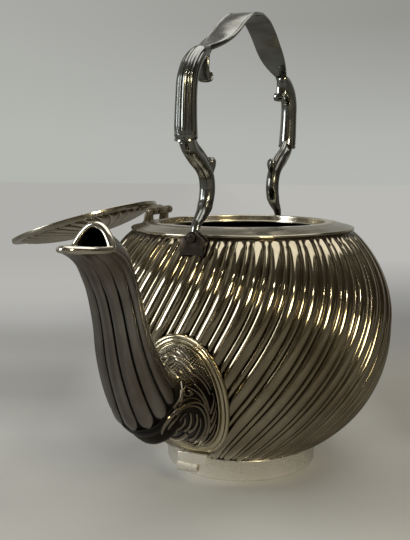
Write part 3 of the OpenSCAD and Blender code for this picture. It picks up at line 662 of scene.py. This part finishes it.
def chased(points):
    """Height of the chasing in millimetres at points of the root, and how deep each lies from 0 to 1."""
    X, Y = on_picture(points)
    X, Y = (X - CHASE_X) * CHASE_SCALE, (Y - CHASE_Y) * CHASE_SCALE
    shape = X.shape
    X, Y = X.ravel(), Y.ravel()
    h = np.zeros(len(X))
    near = np.full(len(X), 1e9)
    for height, w0, w1, *line in STROKES:
        q = smooth(line, 4)
        L = np.concatenate([[0], np.cumsum(np.linalg.norm(np.diff(q, axis=0), axis=1))])
        for a, b, la in zip(q[:-1], q[1:], L):
            d = b - a
            n = float(d @ d)
            t = np.clip(((X - a[0]) * d[0] + (Y - a[1]) * d[1]) / n, 0, 1)
            dist = np.hypot(X - a[0] - t * d[0], Y - a[1] - t * d[1])
            w = w0 + (w1 - w0) * ((la + t * math.sqrt(n)) / L[-1])
            h = np.maximum(h, height * np.sqrt(np.clip(1 - (dist / w) ** 2, 0, 1)))
            near = np.minimum(near, dist / w)
    mat = np.clip(np.sin(X / 6.1 + 2.2 * np.sin(Y / 31)) * np.sin(Y / 5.3 + 2.0 * np.sin(X / 27)), 0, 1)
    upper = smoothstep(*UPPER_FADE, Y) * smoothstep(*UPPER_RISE, Y)
    ground = np.clip(near - 1, 0, 1)
    groove = np.exp(-((near - GROOVE_AT) / GROOVE_W) ** 2)
    h += MAT_HEIGHT * mat * (0.25 + 0.75 * upper) * ground - GROOVE_DEPTH * groove
    deep = np.clip(0.85 - 1.3 * h, 0, 1) * (1 - 0.25 * upper)
    return h.reshape(shape), deep.reshape(shape)


ROOT_POINTS, ROOT_ROWS, ROOT_WALL, SHIELD_POINTS = 480, 170, 1.0, 240


def make_root():
    """Rows of points from the tips of the spout's lobes out to the moulding."""
    t, at = around(ROOT_POINTS), TIP_AT - 1
    y, z, a, b = SP[at]
    off = SPOUT_GROOVE * 0.75
    start = set_ring(y, z, SP_ANG[at], (a - off) * np.cos(t), -(b - off) * np.sin(t))
    back = np.array([0, -math.cos(SP_ANG[at]), -math.sin(SP_ANG[at])])
    ex, ez = (SHIELD_RX - MOULD_W + 0.6) * np.cos(t), (SHIELD_RZ - MOULD_W + 0.6) * np.sin(t)
    end = on_bowl(ex, SHIELD_Z + ez, 1.0)
    out = end - on_bowl(ex * 0.93, SHIELD_Z + ez * 0.93, 1.0)
    dist = length(end - start)
    w = np.linspace(0, 1, ROOT_ROWS)[:, None, None]
    return hermite(w, start, back * dist * 0.55, end, out / length(out) * dist * 0.5)


def surface_normals(points):
    n = np.cross(np.roll(points, -1, 1) - np.roll(points, 1, 1), np.gradient(points, axis=0))
    return n / np.maximum(length(n), 1e-9)


root = make_root()
normals = surface_normals(root)
if normals[:, 0, 0].mean() < 0:
    normals = -normals
h, deep = chased(root)
w = np.linspace(0, 1, ROOT_ROWS)[:, None]
edge = smoothstep(0, 0.03, w) * smoothstep(1, 0.97, w)
top, under = root + normals * (h * edge)[..., None], root - normals * ROOT_WALL
p, f = skin(np.concatenate([top, under[::-1]]), joined=True)
cav = np.concatenate([np.maximum(deep, 1 - edge), np.ones_like(deep)]).ravel()
piece("chased_root", p, f, "kettle", CHASED, ("escutcheon_plate",), cav)

# The moulding's section, each row [place across, height, hollow]: shares of MOULD_W and MOULD_H, then 0 to 1
MOULD_SECTION = [
    (-1.0, 0.0, 0.9), (-1.0, 0.3, 0.5), (-0.93, 0.5, 0.2), (-0.8, 0.6, 0.0), (-0.67, 0.52, 0.4), (-0.58, 0.34, 1.0),
    (-0.5, 0.58, 0.3), (-0.32, 0.86, 0.0), (-0.05, 0.98, 0.0), (0.16, 0.86, 0.2), (0.28, 0.56, 1.0), (0.38, 0.80, 0.2),
    (0.56, 0.92, 0.0), (0.76, 0.74, 0.0), (0.92, 0.40, 0.3), (1.0, 0.15, 0.7), (1.0, 0.0, 1.0)]
t = -around(SHIELD_POINTS)
p, f = skin([on_bowl((SHIELD_RX + q * MOULD_W) * np.cos(t), SHIELD_Z + (SHIELD_RZ + q * MOULD_W) * np.sin(t),
                     h * MOULD_H - 0.3) for q, h, _ in MOULD_SECTION], joined=True)
cav = np.repeat([row[2] for row in MOULD_SECTION], SHIELD_POINTS)
piece("root_moulding", p, f, "kettle", MOULDM, ("escutcheon_moulding",), cav)

# Lid
RIB_POINTS, DOME_ROWS, DOME_SWIRL, RIB_DEPTH, DOME_WALL, DOME_TOP_R = 14, 40, 40, 1.15, 1.7, 5
edge = rounded([[LID_R - 8, LID_Z, 0], [LID_R, LID_Z, 0.4], [LID_R, LID_TOP, 0.8], [LID_R - 3.6, LID_TOP, 0.5],
                [LID_R - 4.4, LID_TOP + 0.35, 0.4], [LID_R - 5.4, LID_TOP, 0], [LID_R - 8, LID_TOP, 0]], 0.4)
p, f = revolve(edge, 240)
piece("lid_edge", lid_pose(p), f, "lid", LID, ("lid_flange",))


def dome_z(r):
    return LID_TOP + LID_RISE * np.maximum(0, 1 - (np.asarray(r) / DOME_R) ** 2) ** 0.75


def make_dome():
    xi = across_lobe(RIB_POINTS)
    share = ((np.arange(LID_RIBS)[:, None] + (xi[None] + 1) / 2) / LID_RIBS).ravel()
    x = np.tile(xi, LID_RIBS)

    def row(r, z):
        return polar(r, 2 * math.pi * share + math.radians(DOME_SWIRL * r / DOME_R), z)

    rows, cav = [], []
    for r in np.concatenate([[DOME_R, DOME_R - 0.3], np.linspace(DOME_R - 1, DOME_TOP_R, DOME_ROWS), [2.5]]):
        h = lobe_fall(x, lobe_end((DOME_R - 0.6 - r) / 3.5)) * min(1.0, max(0.0, (r - 4) / 8))
        rows.append(row(r, dome_z(r) - RIB_DEPTH * h))
        cav.append(np.clip((h - 0.4) / 0.6, 0, 1))
    for r in [2.5, DOME_TOP_R, DOME_R * 0.3, DOME_R * 0.5, DOME_R * 0.7, DOME_R * 0.85, DOME_R - 2]:
        rows.append(row(r, dome_z(r) - DOME_WALL if r < DOME_R - 3 else LID_TOP + 0.2))
        cav.append(np.zeros(len(x)))
    return *skin(rows, joined=True), np.array(cav).ravel()


p, f, cav = make_dome()
piece("lid_ribs", lid_pose(p), f, "lid", LID, ("lid_dome",), cav)
z = float(dome_z(DOME_TOP_R))
finial = smooth([[0, z], [2.6, z], [4.7, z + 0.1], [4.7, z + 0.8], [2.5, z + 1.8], [1.9, z + 3.2], [2.8, z + 3.8],
                 [2.8, z + 4.4], [4.6, z + 6], [5.3, z + 8], [4.8, z + 10], [3.2, z + 11.6], [1.6, z + 12.6],
                 [1.3, z + 13.6], [0.6, z + 14.4], [0, z + 14.6]], 3)
finial[:, 0] = np.maximum(finial[:, 0], 0)
p, f = turned_solid(finial, 64)
piece("lid_finial", lid_pose(p), f, "lid", BRIGHT, ("finial",))
THREADS, THREAD_PITCH = 9, 0.8
z = float(dome_z(DOME_TOP_R)) - 1.9
nut = [[0, z], [4, z], [4, z - 1.0], [3.7, z - 1.5], [3.2, z - 2.0], [2.2, z - 2.4], [2.0, z - 2.8]]
for k in range(THREADS):
    nut += [[2.0, z - 3.2 - THREAD_PITCH * k], [1.75, z - 3.6 - THREAD_PITCH * k]]
nut += [[1.9, z - 10.4], [1.2, z - 11.6], [0, z - 12]]
p, f = turned_solid(nut, 48)
piece("lid_nut", lid_pose(p), f, "lid", BRIGHT, ("finial_nut",))


# Handle
def from_pivot(path):
    q = np.array(path, float)
    q[:, 0] += PIVOT_Y
    q[:, 1] += PIVOT_Z
    return q


# Half paths from the pivot, each row [out, up, half width across, half width in plane]
LEG = from_pivot([
    [0, 1, 1.9, 1.2], [-0.3, 3.7, 2.1, 1.25], [-2.4, 6.7, 2.6, 1.7], [-5.8, 9.2, 3.1, 2.3], [-9.4, 12, 3.5, 2.9],
    [-12.2, 15.4, 3.8, 3.4], [-13.9, 19.8, 4, 3.7], [-14.1, 24.9, 4, 3.7], [-11.6, 30.6, 4, 3.7],
    [-4.4, 35.8, 3.9, 3.7], [3.8, 39.8, 3.9, 3.7], [9.2, 43.3, 3.9, 3.7], [12, 46.9, 3.9, 3.7]])
SHEATH = from_pivot([
    [12, 46.9, 5.2, 5.2], [13.2, 51.2, 5.4, 5.4], [13.6, 58.7, 5.2, 5.2], [13.6, 66.7, 5, 5], [12.7, 74, 5, 5],
    [8.8, 80.8, 4.8, 4.6], [1.8, 86.2, 4.3, 3.8], [-5.6, 88.8, 3.6, 2.6]])
VOLUTE = from_pivot([
    [-5.2, 87.2, 3, 1.0], [-4.2, 83.4, 3.3, 1.1], [-4.3, 79.6, 3.4, 1.1], [-5.6, 76.2, 3.4, 1.1],
    [-7.8, 75.2, 3.4, 1.0], [-9.3, 76.6, 3.3, 0.9], [-8.9, 78.6, 3.2, 0.8], [-7.3, 78.9, 3.1, 0.7]])
BUD = from_pivot([
    [-12.0, 16, 1.5, 1.4], [-13.9, 21.5, 2.0, 1.9], [-15.4, 26, 2.1, 2], [-16.4, 31, 2.0, 1.9],
    [-17, 34.6, 2.8, 2.4], [-17.1, 37.2, 2.8, 2.4], [-17, 38.9, 1.4, 1.2]])
STEM = from_pivot([
    [8.4, 49.6, 1.9, 1.6], [3.2, 44.6, 2.0, 1.7], [-4.0, 41.0, 2.0, 1.7], [-10.6, 37.2, 1.9, 1.6],
    [-14.8, 32.4, 1.6, 1.4]])
STRAP = np.array([[PIVOT_Y - 5.8, PIVOT_Z + 88.95], [PIVOT_Y - 15.2, PIVOT_Z + 92.6], [PIVOT_Y - 24.8, PIVOT_Z + 97.2],
                  [32, PIVOT_Z + 102.6], [23, PIVOT_Z + 108.2], [12, PIVOT_Z + 113.2], [0, PIVOT_Z + 115.1]])
STRAP_W, STRAP_END_W, STRAP_T, STRAP_POINTS = 7.8, 3.4, 2.4, 49


def bump(x, at, width):
    """A soft rise to 1 round a place."""
    return np.exp(-((x - at) / width) ** 2)


def bar(path, steps, n, shape=None):
    """Rings along a half path; shape gives each section's share of its width, and its hollow."""
    q = smooth(path, steps)
    q[:, 2:] = np.maximum(q[:, 2:], 0.3)
    ang = heading(np.stack([-q[:, 0], q[:, 1]], -1))
    t = -around(n)
    rings, cav = [], []
    for i, (y, z, w, b) in enumerate(q):
        s, c = (1, 0) if shape is None else shape(i / (len(q) - 1), t)
        rings.append(set_ring(-y, z, ang[i], w * s * np.cos(t), b * s * np.sin(t)))
        cav.append(np.zeros(n) + c)
    return np.array(rings), np.array(cav)


def both(name, rings, cav, nodes):
    """A piece of the handle at the front, and its mirror image at the rear."""
    for side, flip in (("front", 1), ("rear", -1)):
        p, f = skin(rings * [1, flip, 1])
        piece(f"{name}_{side}", leaning(p), f, "handle", HANDLE,
              [n.format(side) for n in nodes], cav.ravel())


def leg_shape(u, t):
    knots = 0.06 * bump(u, 0.40, 0.035) + 0.08 * bump(u, 0.78, 0.04)
    seam = 0.05 * np.maximum(0, np.cos(3 * t + 2.5 * u)) ** 4 * smoothstep(0.2, 0.4, u)
    return 1 + knots - seam, np.clip(seam * 9, 0, 1)


def sheath_shape(u, t):
    outer_side = smoothstep(-0.35, 0.25, np.sin(t))
    reeds = 0.5 + 0.5 * np.cos(18 * t)
    band = outer_side * (0.13 * bump(u, 0.02, 0.018) + 0.06 * bump(u, 0.09, 0.012))
    depth = 0.055 * float(smoothstep(0.10, 0.16, u)) * (1 - float(smoothstep(0.7, 0.95, u))) * outer_side
    return 1 + band - depth * (1 - reeds), np.clip((1 - reeds) * depth * 14, 0, 1)


def bud_shape(u, t):
    petals = 0.12 * np.maximum(0, np.cos(3 * t)) * float(smoothstep(0.55, 0.8, u))
    return 1 - petals, np.clip(petals * 5, 0, 1)


both("handle_leg", *bar(LEG, 8, 44, leg_shape), ["leg_{}"])
# The eye at each leg's foot, a ring about the pivot pin
EYE_R, EYE_HOLE_R, EYE_POINTS = 2.4, 1.4, 64
prof = rounded([[EYE_HOLE_R, -EYE_T / 2, 0.2], [EYE_R, -EYE_T / 2, 0.4], [EYE_R, EYE_T / 2, 0.4],
                [EYE_HOLE_R, EYE_T / 2, 0.2]], 0.3)
eye = polar(prof[:, :1], around(EYE_POINTS), prof[:, 1:] - PIVOT_Y)[..., [0, 2, 1]] + [0, 0, PIVOT_Z]
for side, flip in (("front", 1), ("rear", -1)):
    piece(f"handle_eye_{side}", leaning(eye * [1, flip, 1]), [quads(len(prof), EYE_POINTS, wrap_rows=True)],
          "handle", DARK)
both("handle_sheath", *bar(SHEATH, 9, 108, sheath_shape), ["sheath_{}"])
both("handle_volute", *bar(VOLUTE, 8, 28), ["volute_{}"])
both("handle_bud", *bar(BUD, 8, 36, bud_shape), ["bud_{}"])
both("handle_stem", *bar(STEM, 8, 28), [])


def make_strap():
    half = smooth(STRAP, 10)
    path = np.concatenate([half * [-1, 1], half[:-1][::-1]])
    ang = heading(path)
    xs = np.sin(np.linspace(-1, 1, STRAP_POINTS) * math.pi / 2)
    rib, line = bump(np.abs(xs), 0.93, 0.05), bump(np.abs(xs), 0.82, 0.04)
    top = 0.40 + 0.22 * (1 - xs ** 2) + 0.20 * rib - 0.06 * line
    top[[0, -1]] = 0.12
    low = -0.14 - 0.08 * (1 - xs ** 2) + 0.1
    hollow = np.concatenate([0.8 * bump(np.abs(xs), 0.82, 0.05), np.full(STRAP_POINTS - 2, 0.2)])
    rings = []
    for i, (y, z) in enumerate(path):
        u = min(1.0, (1 - abs(y) / STRAP[0, 0]) * 2.2)
        w = STRAP_END_W + (STRAP_W - STRAP_END_W) * math.sin(math.pi / 2 * u)
        a = np.concatenate([xs, xs[::-1][1:-1] * 0.97]) * w
        b = np.concatenate([top, low[1:-1]]) * (STRAP_T * (1.6 - 0.6 * u))
        rings.append(set_ring(y, z, ang[i], a, b))
    return rings, np.tile(hollow, len(path))


rings, cav = make_strap()
p, f = skin(rings)
piece("handle_grip", leaning(p), f, "handle", HANDLE, ("handle_strap",), cav)

# Small fittings: CAD nodes with softer edges
FLAT_ANGLE, EDGE_ANGLE, SHARP_ANGLE = math.radians(1.5), math.radians(25), math.radians(50)


def softened(node, name, body, look, width):
    """A copy of a CAD node with its edges rounded, which stands for the node."""
    bm = bmesh.new()
    bm.from_mesh(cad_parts[node].data)
    bmesh.ops.remove_doubles(bm, verts=bm.verts, dist=2e-6)
    bmesh.ops.dissolve_limit(bm, angle_limit=FLAT_ANGLE, verts=bm.verts, edges=bm.edges)
    edges = [e for e in bm.edges if len(e.link_faces) == 2 and e.calc_face_angle(0) > EDGE_ANGLE]
    bmesh.ops.bevel(bm, geom=edges, offset=width * MM, segments=3, profile=0.5, affect="EDGES", clamp_overlap=True)
    bmesh.ops.triangulate(bm, faces=bm.faces)
    me = bpy.data.meshes.new(name)
    bm.to_mesh(me)
    bm.free()
    me.polygons.foreach_set("use_smooth", np.ones(len(me.polygons), bool))
    me.set_sharp_from_angle(angle=SHARP_ANGLE)
    ob = add(name, me)
    me.materials.append(look)
    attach(ob, body)
    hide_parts(node)


for side in ("front", "rear"):
    softened(f"stand_lug_{side}", f"bracket_{side}", "kettle", FOOTM, 0.35)
    softened(f"hinge_lug_{side}", f"hinge_ear_{side}", "kettle", HINGE, 0.3)
    softened(f"handle_lug_{side}", f"handle_block_{side}", "kettle", DARK, 0.45)
    softened(f"pivot_pin_{side}", f"pivot_rod_{side}", "kettle", DARK, 0.3)
softened("lid_leaf", "lid_tongue", "lid", HINGE, 0.25)
softened("hinge_pin", "hinge_rod", "kettle", BRIGHT, 0.25)

# CAD pieces that stay
for side in ("front", "rear"):
    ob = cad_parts[f"stand_tube_{side}"]
    ob.data.materials.clear()
    ob.data.materials.append(FOOTM)

# Floor: rows of (metres ahead of the kettle's middle, brightness) of painted shadow, painted light and painted glow,
# and the colours that they take
FLOOR_HALF, NEAR_SHIFT = 6.0, 0.25
COOL, WARM = (1.0, 0.99, 0.94), (1.0, 0.96, 0.86)
# Painted shadows and pools of light on the near floor, to the left, middle and right
PAINTED_LIGHT_NEAR_LEFT = [(-0.2, 0.42), (-0.07, 0.37), (-0.03, 0.41), (0.03, 0.44), (0.07, 0.36), (0.11, 0.27), (0.16, 0.26),
             (0.22, 0.31)]
PAINTED_LIGHT_NEAR_MID = [(-0.2, 0.42), (-0.07, 0.45), (-0.05, 0.49), (-0.02, 0.58), (0.03, 0.62), (0.08, 0.5)]
PAINTED_LIGHT_NEAR_RIGHT = [(-0.2, 0.42), (-0.07, 0.28), (-0.048, 0.28), (0.0, 0.30), (0.033, 0.25), (0.11, 0.23), (0.22, 0.23)]
# Painted glow of the far floor, brighter to the left and darker to the right
PAINTED_GLOW_FAR_LEFT = [(0.25, 0.30), (0.29, 0.31), (0.386, 0.40), (0.506, 0.455), (0.67, 0.46), (0.95, 0.435)]
PAINTED_GLOW_FAR_RIGHT = [(0.25, 0.22), (0.386, 0.235), (0.506, 0.30), (0.67, 0.40), (0.9, 0.49)]
GRAIN_SHARE, GRAIN_COLOUR = 0.16, (0.16, 0.155, 0.14)
# Painted reflection: the dark and light tones of the floor as the silver mirrors it
PAINTED_REFLECTION_DARK, PAINTED_REFLECTION_LIGHT, PAINTED_REFLECTION_SHARE = (0.012, 0.009, 0.006), (0.16, 0.145, 0.12), 0.72


def make_floor():
    """Painted shadows and pools of light near the kettle, a painted glow far away, and a painted darker reflection
    where the silver mirrors it.
    """
    me = bpy.data.meshes.new("floor")
    s = FLOOR_HALF
    me.from_pydata([(-s, -s, 0), (s, -s, 0), (s, s, 0), (-s, s, 0)], [], [(0, 1, 2, 3)])
    ob = add("floor", me)
    t = Tree(bpy.data.materials.new("floor_painted_light"))
    co = t.node("ShaderNodeTexCoord").outputs["Object"]
    ahead = t.along(co, AHEAD)
    across = t.math("ADD", t.math("MULTIPLY", t.along(co, RIGHTWARD), 2.0), 0.5)
    ahead_near = t.math("ADD", ahead, NEAR_SHIFT)

    def tones(place, shift, rows, tint):
        return t.ramp(place, [(p + shift, tuple(v * c for c in tint)) for p, v in rows])

    # The near floor's colour is painted shade and light, not an even floor tone
    near = t.mix(t.ramp(across, [(0.24, 0.0), (0.42, 1.0)]), tones(ahead_near, NEAR_SHIFT, PAINTED_LIGHT_NEAR_LEFT, COOL),
                 tones(ahead_near, NEAR_SHIFT, PAINTED_LIGHT_NEAR_MID, COOL))
    near = t.mix(t.ramp(across, [(0.50, 0.0), (0.72, 1.0)]), near, tones(ahead_near, NEAR_SHIFT, PAINTED_LIGHT_NEAR_RIGHT, WARM))
    near = t.mix(t.math("MULTIPLY", t.noise(co, 9.0), GRAIN_SHARE), near, GRAIN_COLOUR)
    paint = t.node("ShaderNodeBsdfPrincipled", {"Roughness": 0.55, "Specular IOR Level": 0.25})
    t.link(near, paint.inputs["Base Color"])
    # Far away the floor is a painted glow that emits light, not a lamp
    far = t.mix(t.ramp(across, [(0.1, 0.0), (0.9, 1.0)]), tones(ahead, 0, PAINTED_GLOW_FAR_LEFT, COOL),
                tones(ahead, 0, PAINTED_GLOW_FAR_RIGHT, COOL))
    painted_glow = t.node("ShaderNodeEmission", {"Strength": 1.0}, Color=far)
    painted_floor_light = t.blend(t.ramp(ahead, [(0.16, 0.0), (0.36, 1.0)]), paint.outputs[0], painted_glow.outputs[0])
    # Painted reflection: glossy rays see a darker, blotchy floor than the camera does
    painted_reflection_tone = t.ramp(t.noise(co, 5.0, 3, 0.6), [(0.40, PAINTED_REFLECTION_DARK), (0.62, PAINTED_REFLECTION_LIGHT)])
    dark = t.node("ShaderNodeEmission", {"Strength": 1.0}, Color=painted_reflection_tone)
    glossy = t.node("ShaderNodeLightPath").outputs["Is Glossy Ray"]
    seen = t.blend(t.math("MULTIPLY", glossy, PAINTED_REFLECTION_SHARE), painted_floor_light, dark.outputs[0])
    t.node("ShaderNodeOutputMaterial", Surface=seen)
    me.materials.append(t.owner)


make_floor()

# World: the wall that the camera sees, by height, with painted shade that darkens it higher up and most on the right,
# and the room that the silver mirrors, by direction
PAINTED_WALL_LEFT = [(0.46, (0.45, 0.46, 0.43)), (0.52, (0.455, 0.465, 0.435)), (0.60, (0.395, 0.40, 0.375))]
PAINTED_WALL_RIGHT = [(0.46, (0.48, 0.495, 0.475)), (0.52, (0.44, 0.45, 0.43)), (0.59, (0.30, 0.30, 0.28))]
ROOM_LEFT = [(0.05, (0.03, 0.024, 0.015)), (0.4, (0.07, 0.058, 0.038)), (0.62, (0.20, 0.195, 0.18)),
             (0.8, (0.36, 0.36, 0.34))]
ROOM_RIGHT = [(0.05, (0.022, 0.017, 0.010)), (0.5, (0.03, 0.023, 0.014)), (0.75, (0.06, 0.05, 0.036)),
              (0.95, (0.30, 0.30, 0.28))]
ROOM_TOP, ROOM_THINGS, ROOM_LIGHT = (0.06, 0.052, 0.042), (0.52, 0.49, 0.40), (0.62, 0.62, 0.60)


def make_world():
    world = bpy.data.worlds.new("studio")
    bpy.context.scene.world = world
    t = Tree(world)
    co = t.node("ShaderNodeTexCoord").outputs["Generated"]
    up = t.node("ShaderNodeSeparateXYZ", Vector=co).outputs["Z"]
    ahead, right, height = (t.half(v) for v in (t.along(co, AHEAD), t.along(co, RIGHTWARD), up))
    # The wall's painted light and shade, by height and side
    wall = t.mix(t.ramp(right, [(0.38, 0.0), (0.62, 1.0)]), t.ramp(height, PAINTED_WALL_LEFT), t.ramp(height, PAINTED_WALL_RIGHT))
    room = t.mix(t.ramp(right, [(0.40, 0.0), (0.62, 1.0)]), t.ramp(ahead, ROOM_LEFT), t.ramp(ahead, ROOM_RIGHT))
    room = t.mix(t.ramp(up, [(0.35, 0.0), (0.8, 1.0)]), room, ROOM_TOP)
    things = t.ramp(t.noise(co, 3.2, 3, 0.65, 0.6), [(0.50, 0.0), (0.66, 1.0)])
    small = t.ramp(t.noise(co, 11.0, 2, 0.6, 0.3), [(0.42, 0.15), (0.62, 1.0)])
    seen = t.mix(t.math("MULTIPLY", things, small), room, ROOM_THINGS)
    ray = t.node("ShaderNodeLightPath").outputs
    colour = t.mix(ray["Is Camera Ray"], t.mix(ray["Is Glossy Ray"], ROOM_LIGHT, seen), wall)
    background = t.node("ShaderNodeBackground", {"Strength": 1.0}, Color=colour)
    t.node("ShaderNodeOutputWorld", Surface=background.outputs[0])


make_world()


def area(name, at, look_at, size, power, color):
    """A lamp with a shining rectangle, turned towards a point. Places and sizes are in metres."""
    d = bpy.data.lights.new(name, "AREA")
    d.shape = "RECTANGLE"
    d.size, d.size_y = size
    d.energy = power
    d.color = color
    d.spread = math.pi
    ob = add(name, d)
    ob.location = at
    ob.rotation_euler = (Vector(look_at) - Vector(at)).to_track_quat("-Z", "Y").to_euler()


area("window_right", (0.75, -0.75, 0.60), (0, 0, 0.1), (0.22, 0.24), 4.0, (1.0, 0.88, 0.58))
area("lamp_right", (0.60, -0.66, 0.92), (0, 0, 0.1), (0.05, 0.05), 0.4, (1.0, 0.94, 0.80))
area("window_left", (-1.1, -0.9, 0.55), (0, 0, 0.08), (0.5, 0.9), 10.0, (0.93, 0.97, 1.0))
area("ceiling", (0.1, 0.25, 1.3), (0, 0, 0), (1.4, 1.4), 9.5, (1.0, 0.98, 0.94))

lens = bpy.data.cameras.new("camera")
lens.lens, lens.sensor_width, lens.clip_start = CAM_LENS, CAM_SENSOR, CAM_NEAR
camera = add("camera", lens)
camera.location = [v * MM for v in CAM_AT]
camera.rotation_euler = (CAM_TILT, 0, CAM_YAW)
bpy.context.scene.camera = camera
bpy.context.scene.view_settings.view_transform = "Standard"
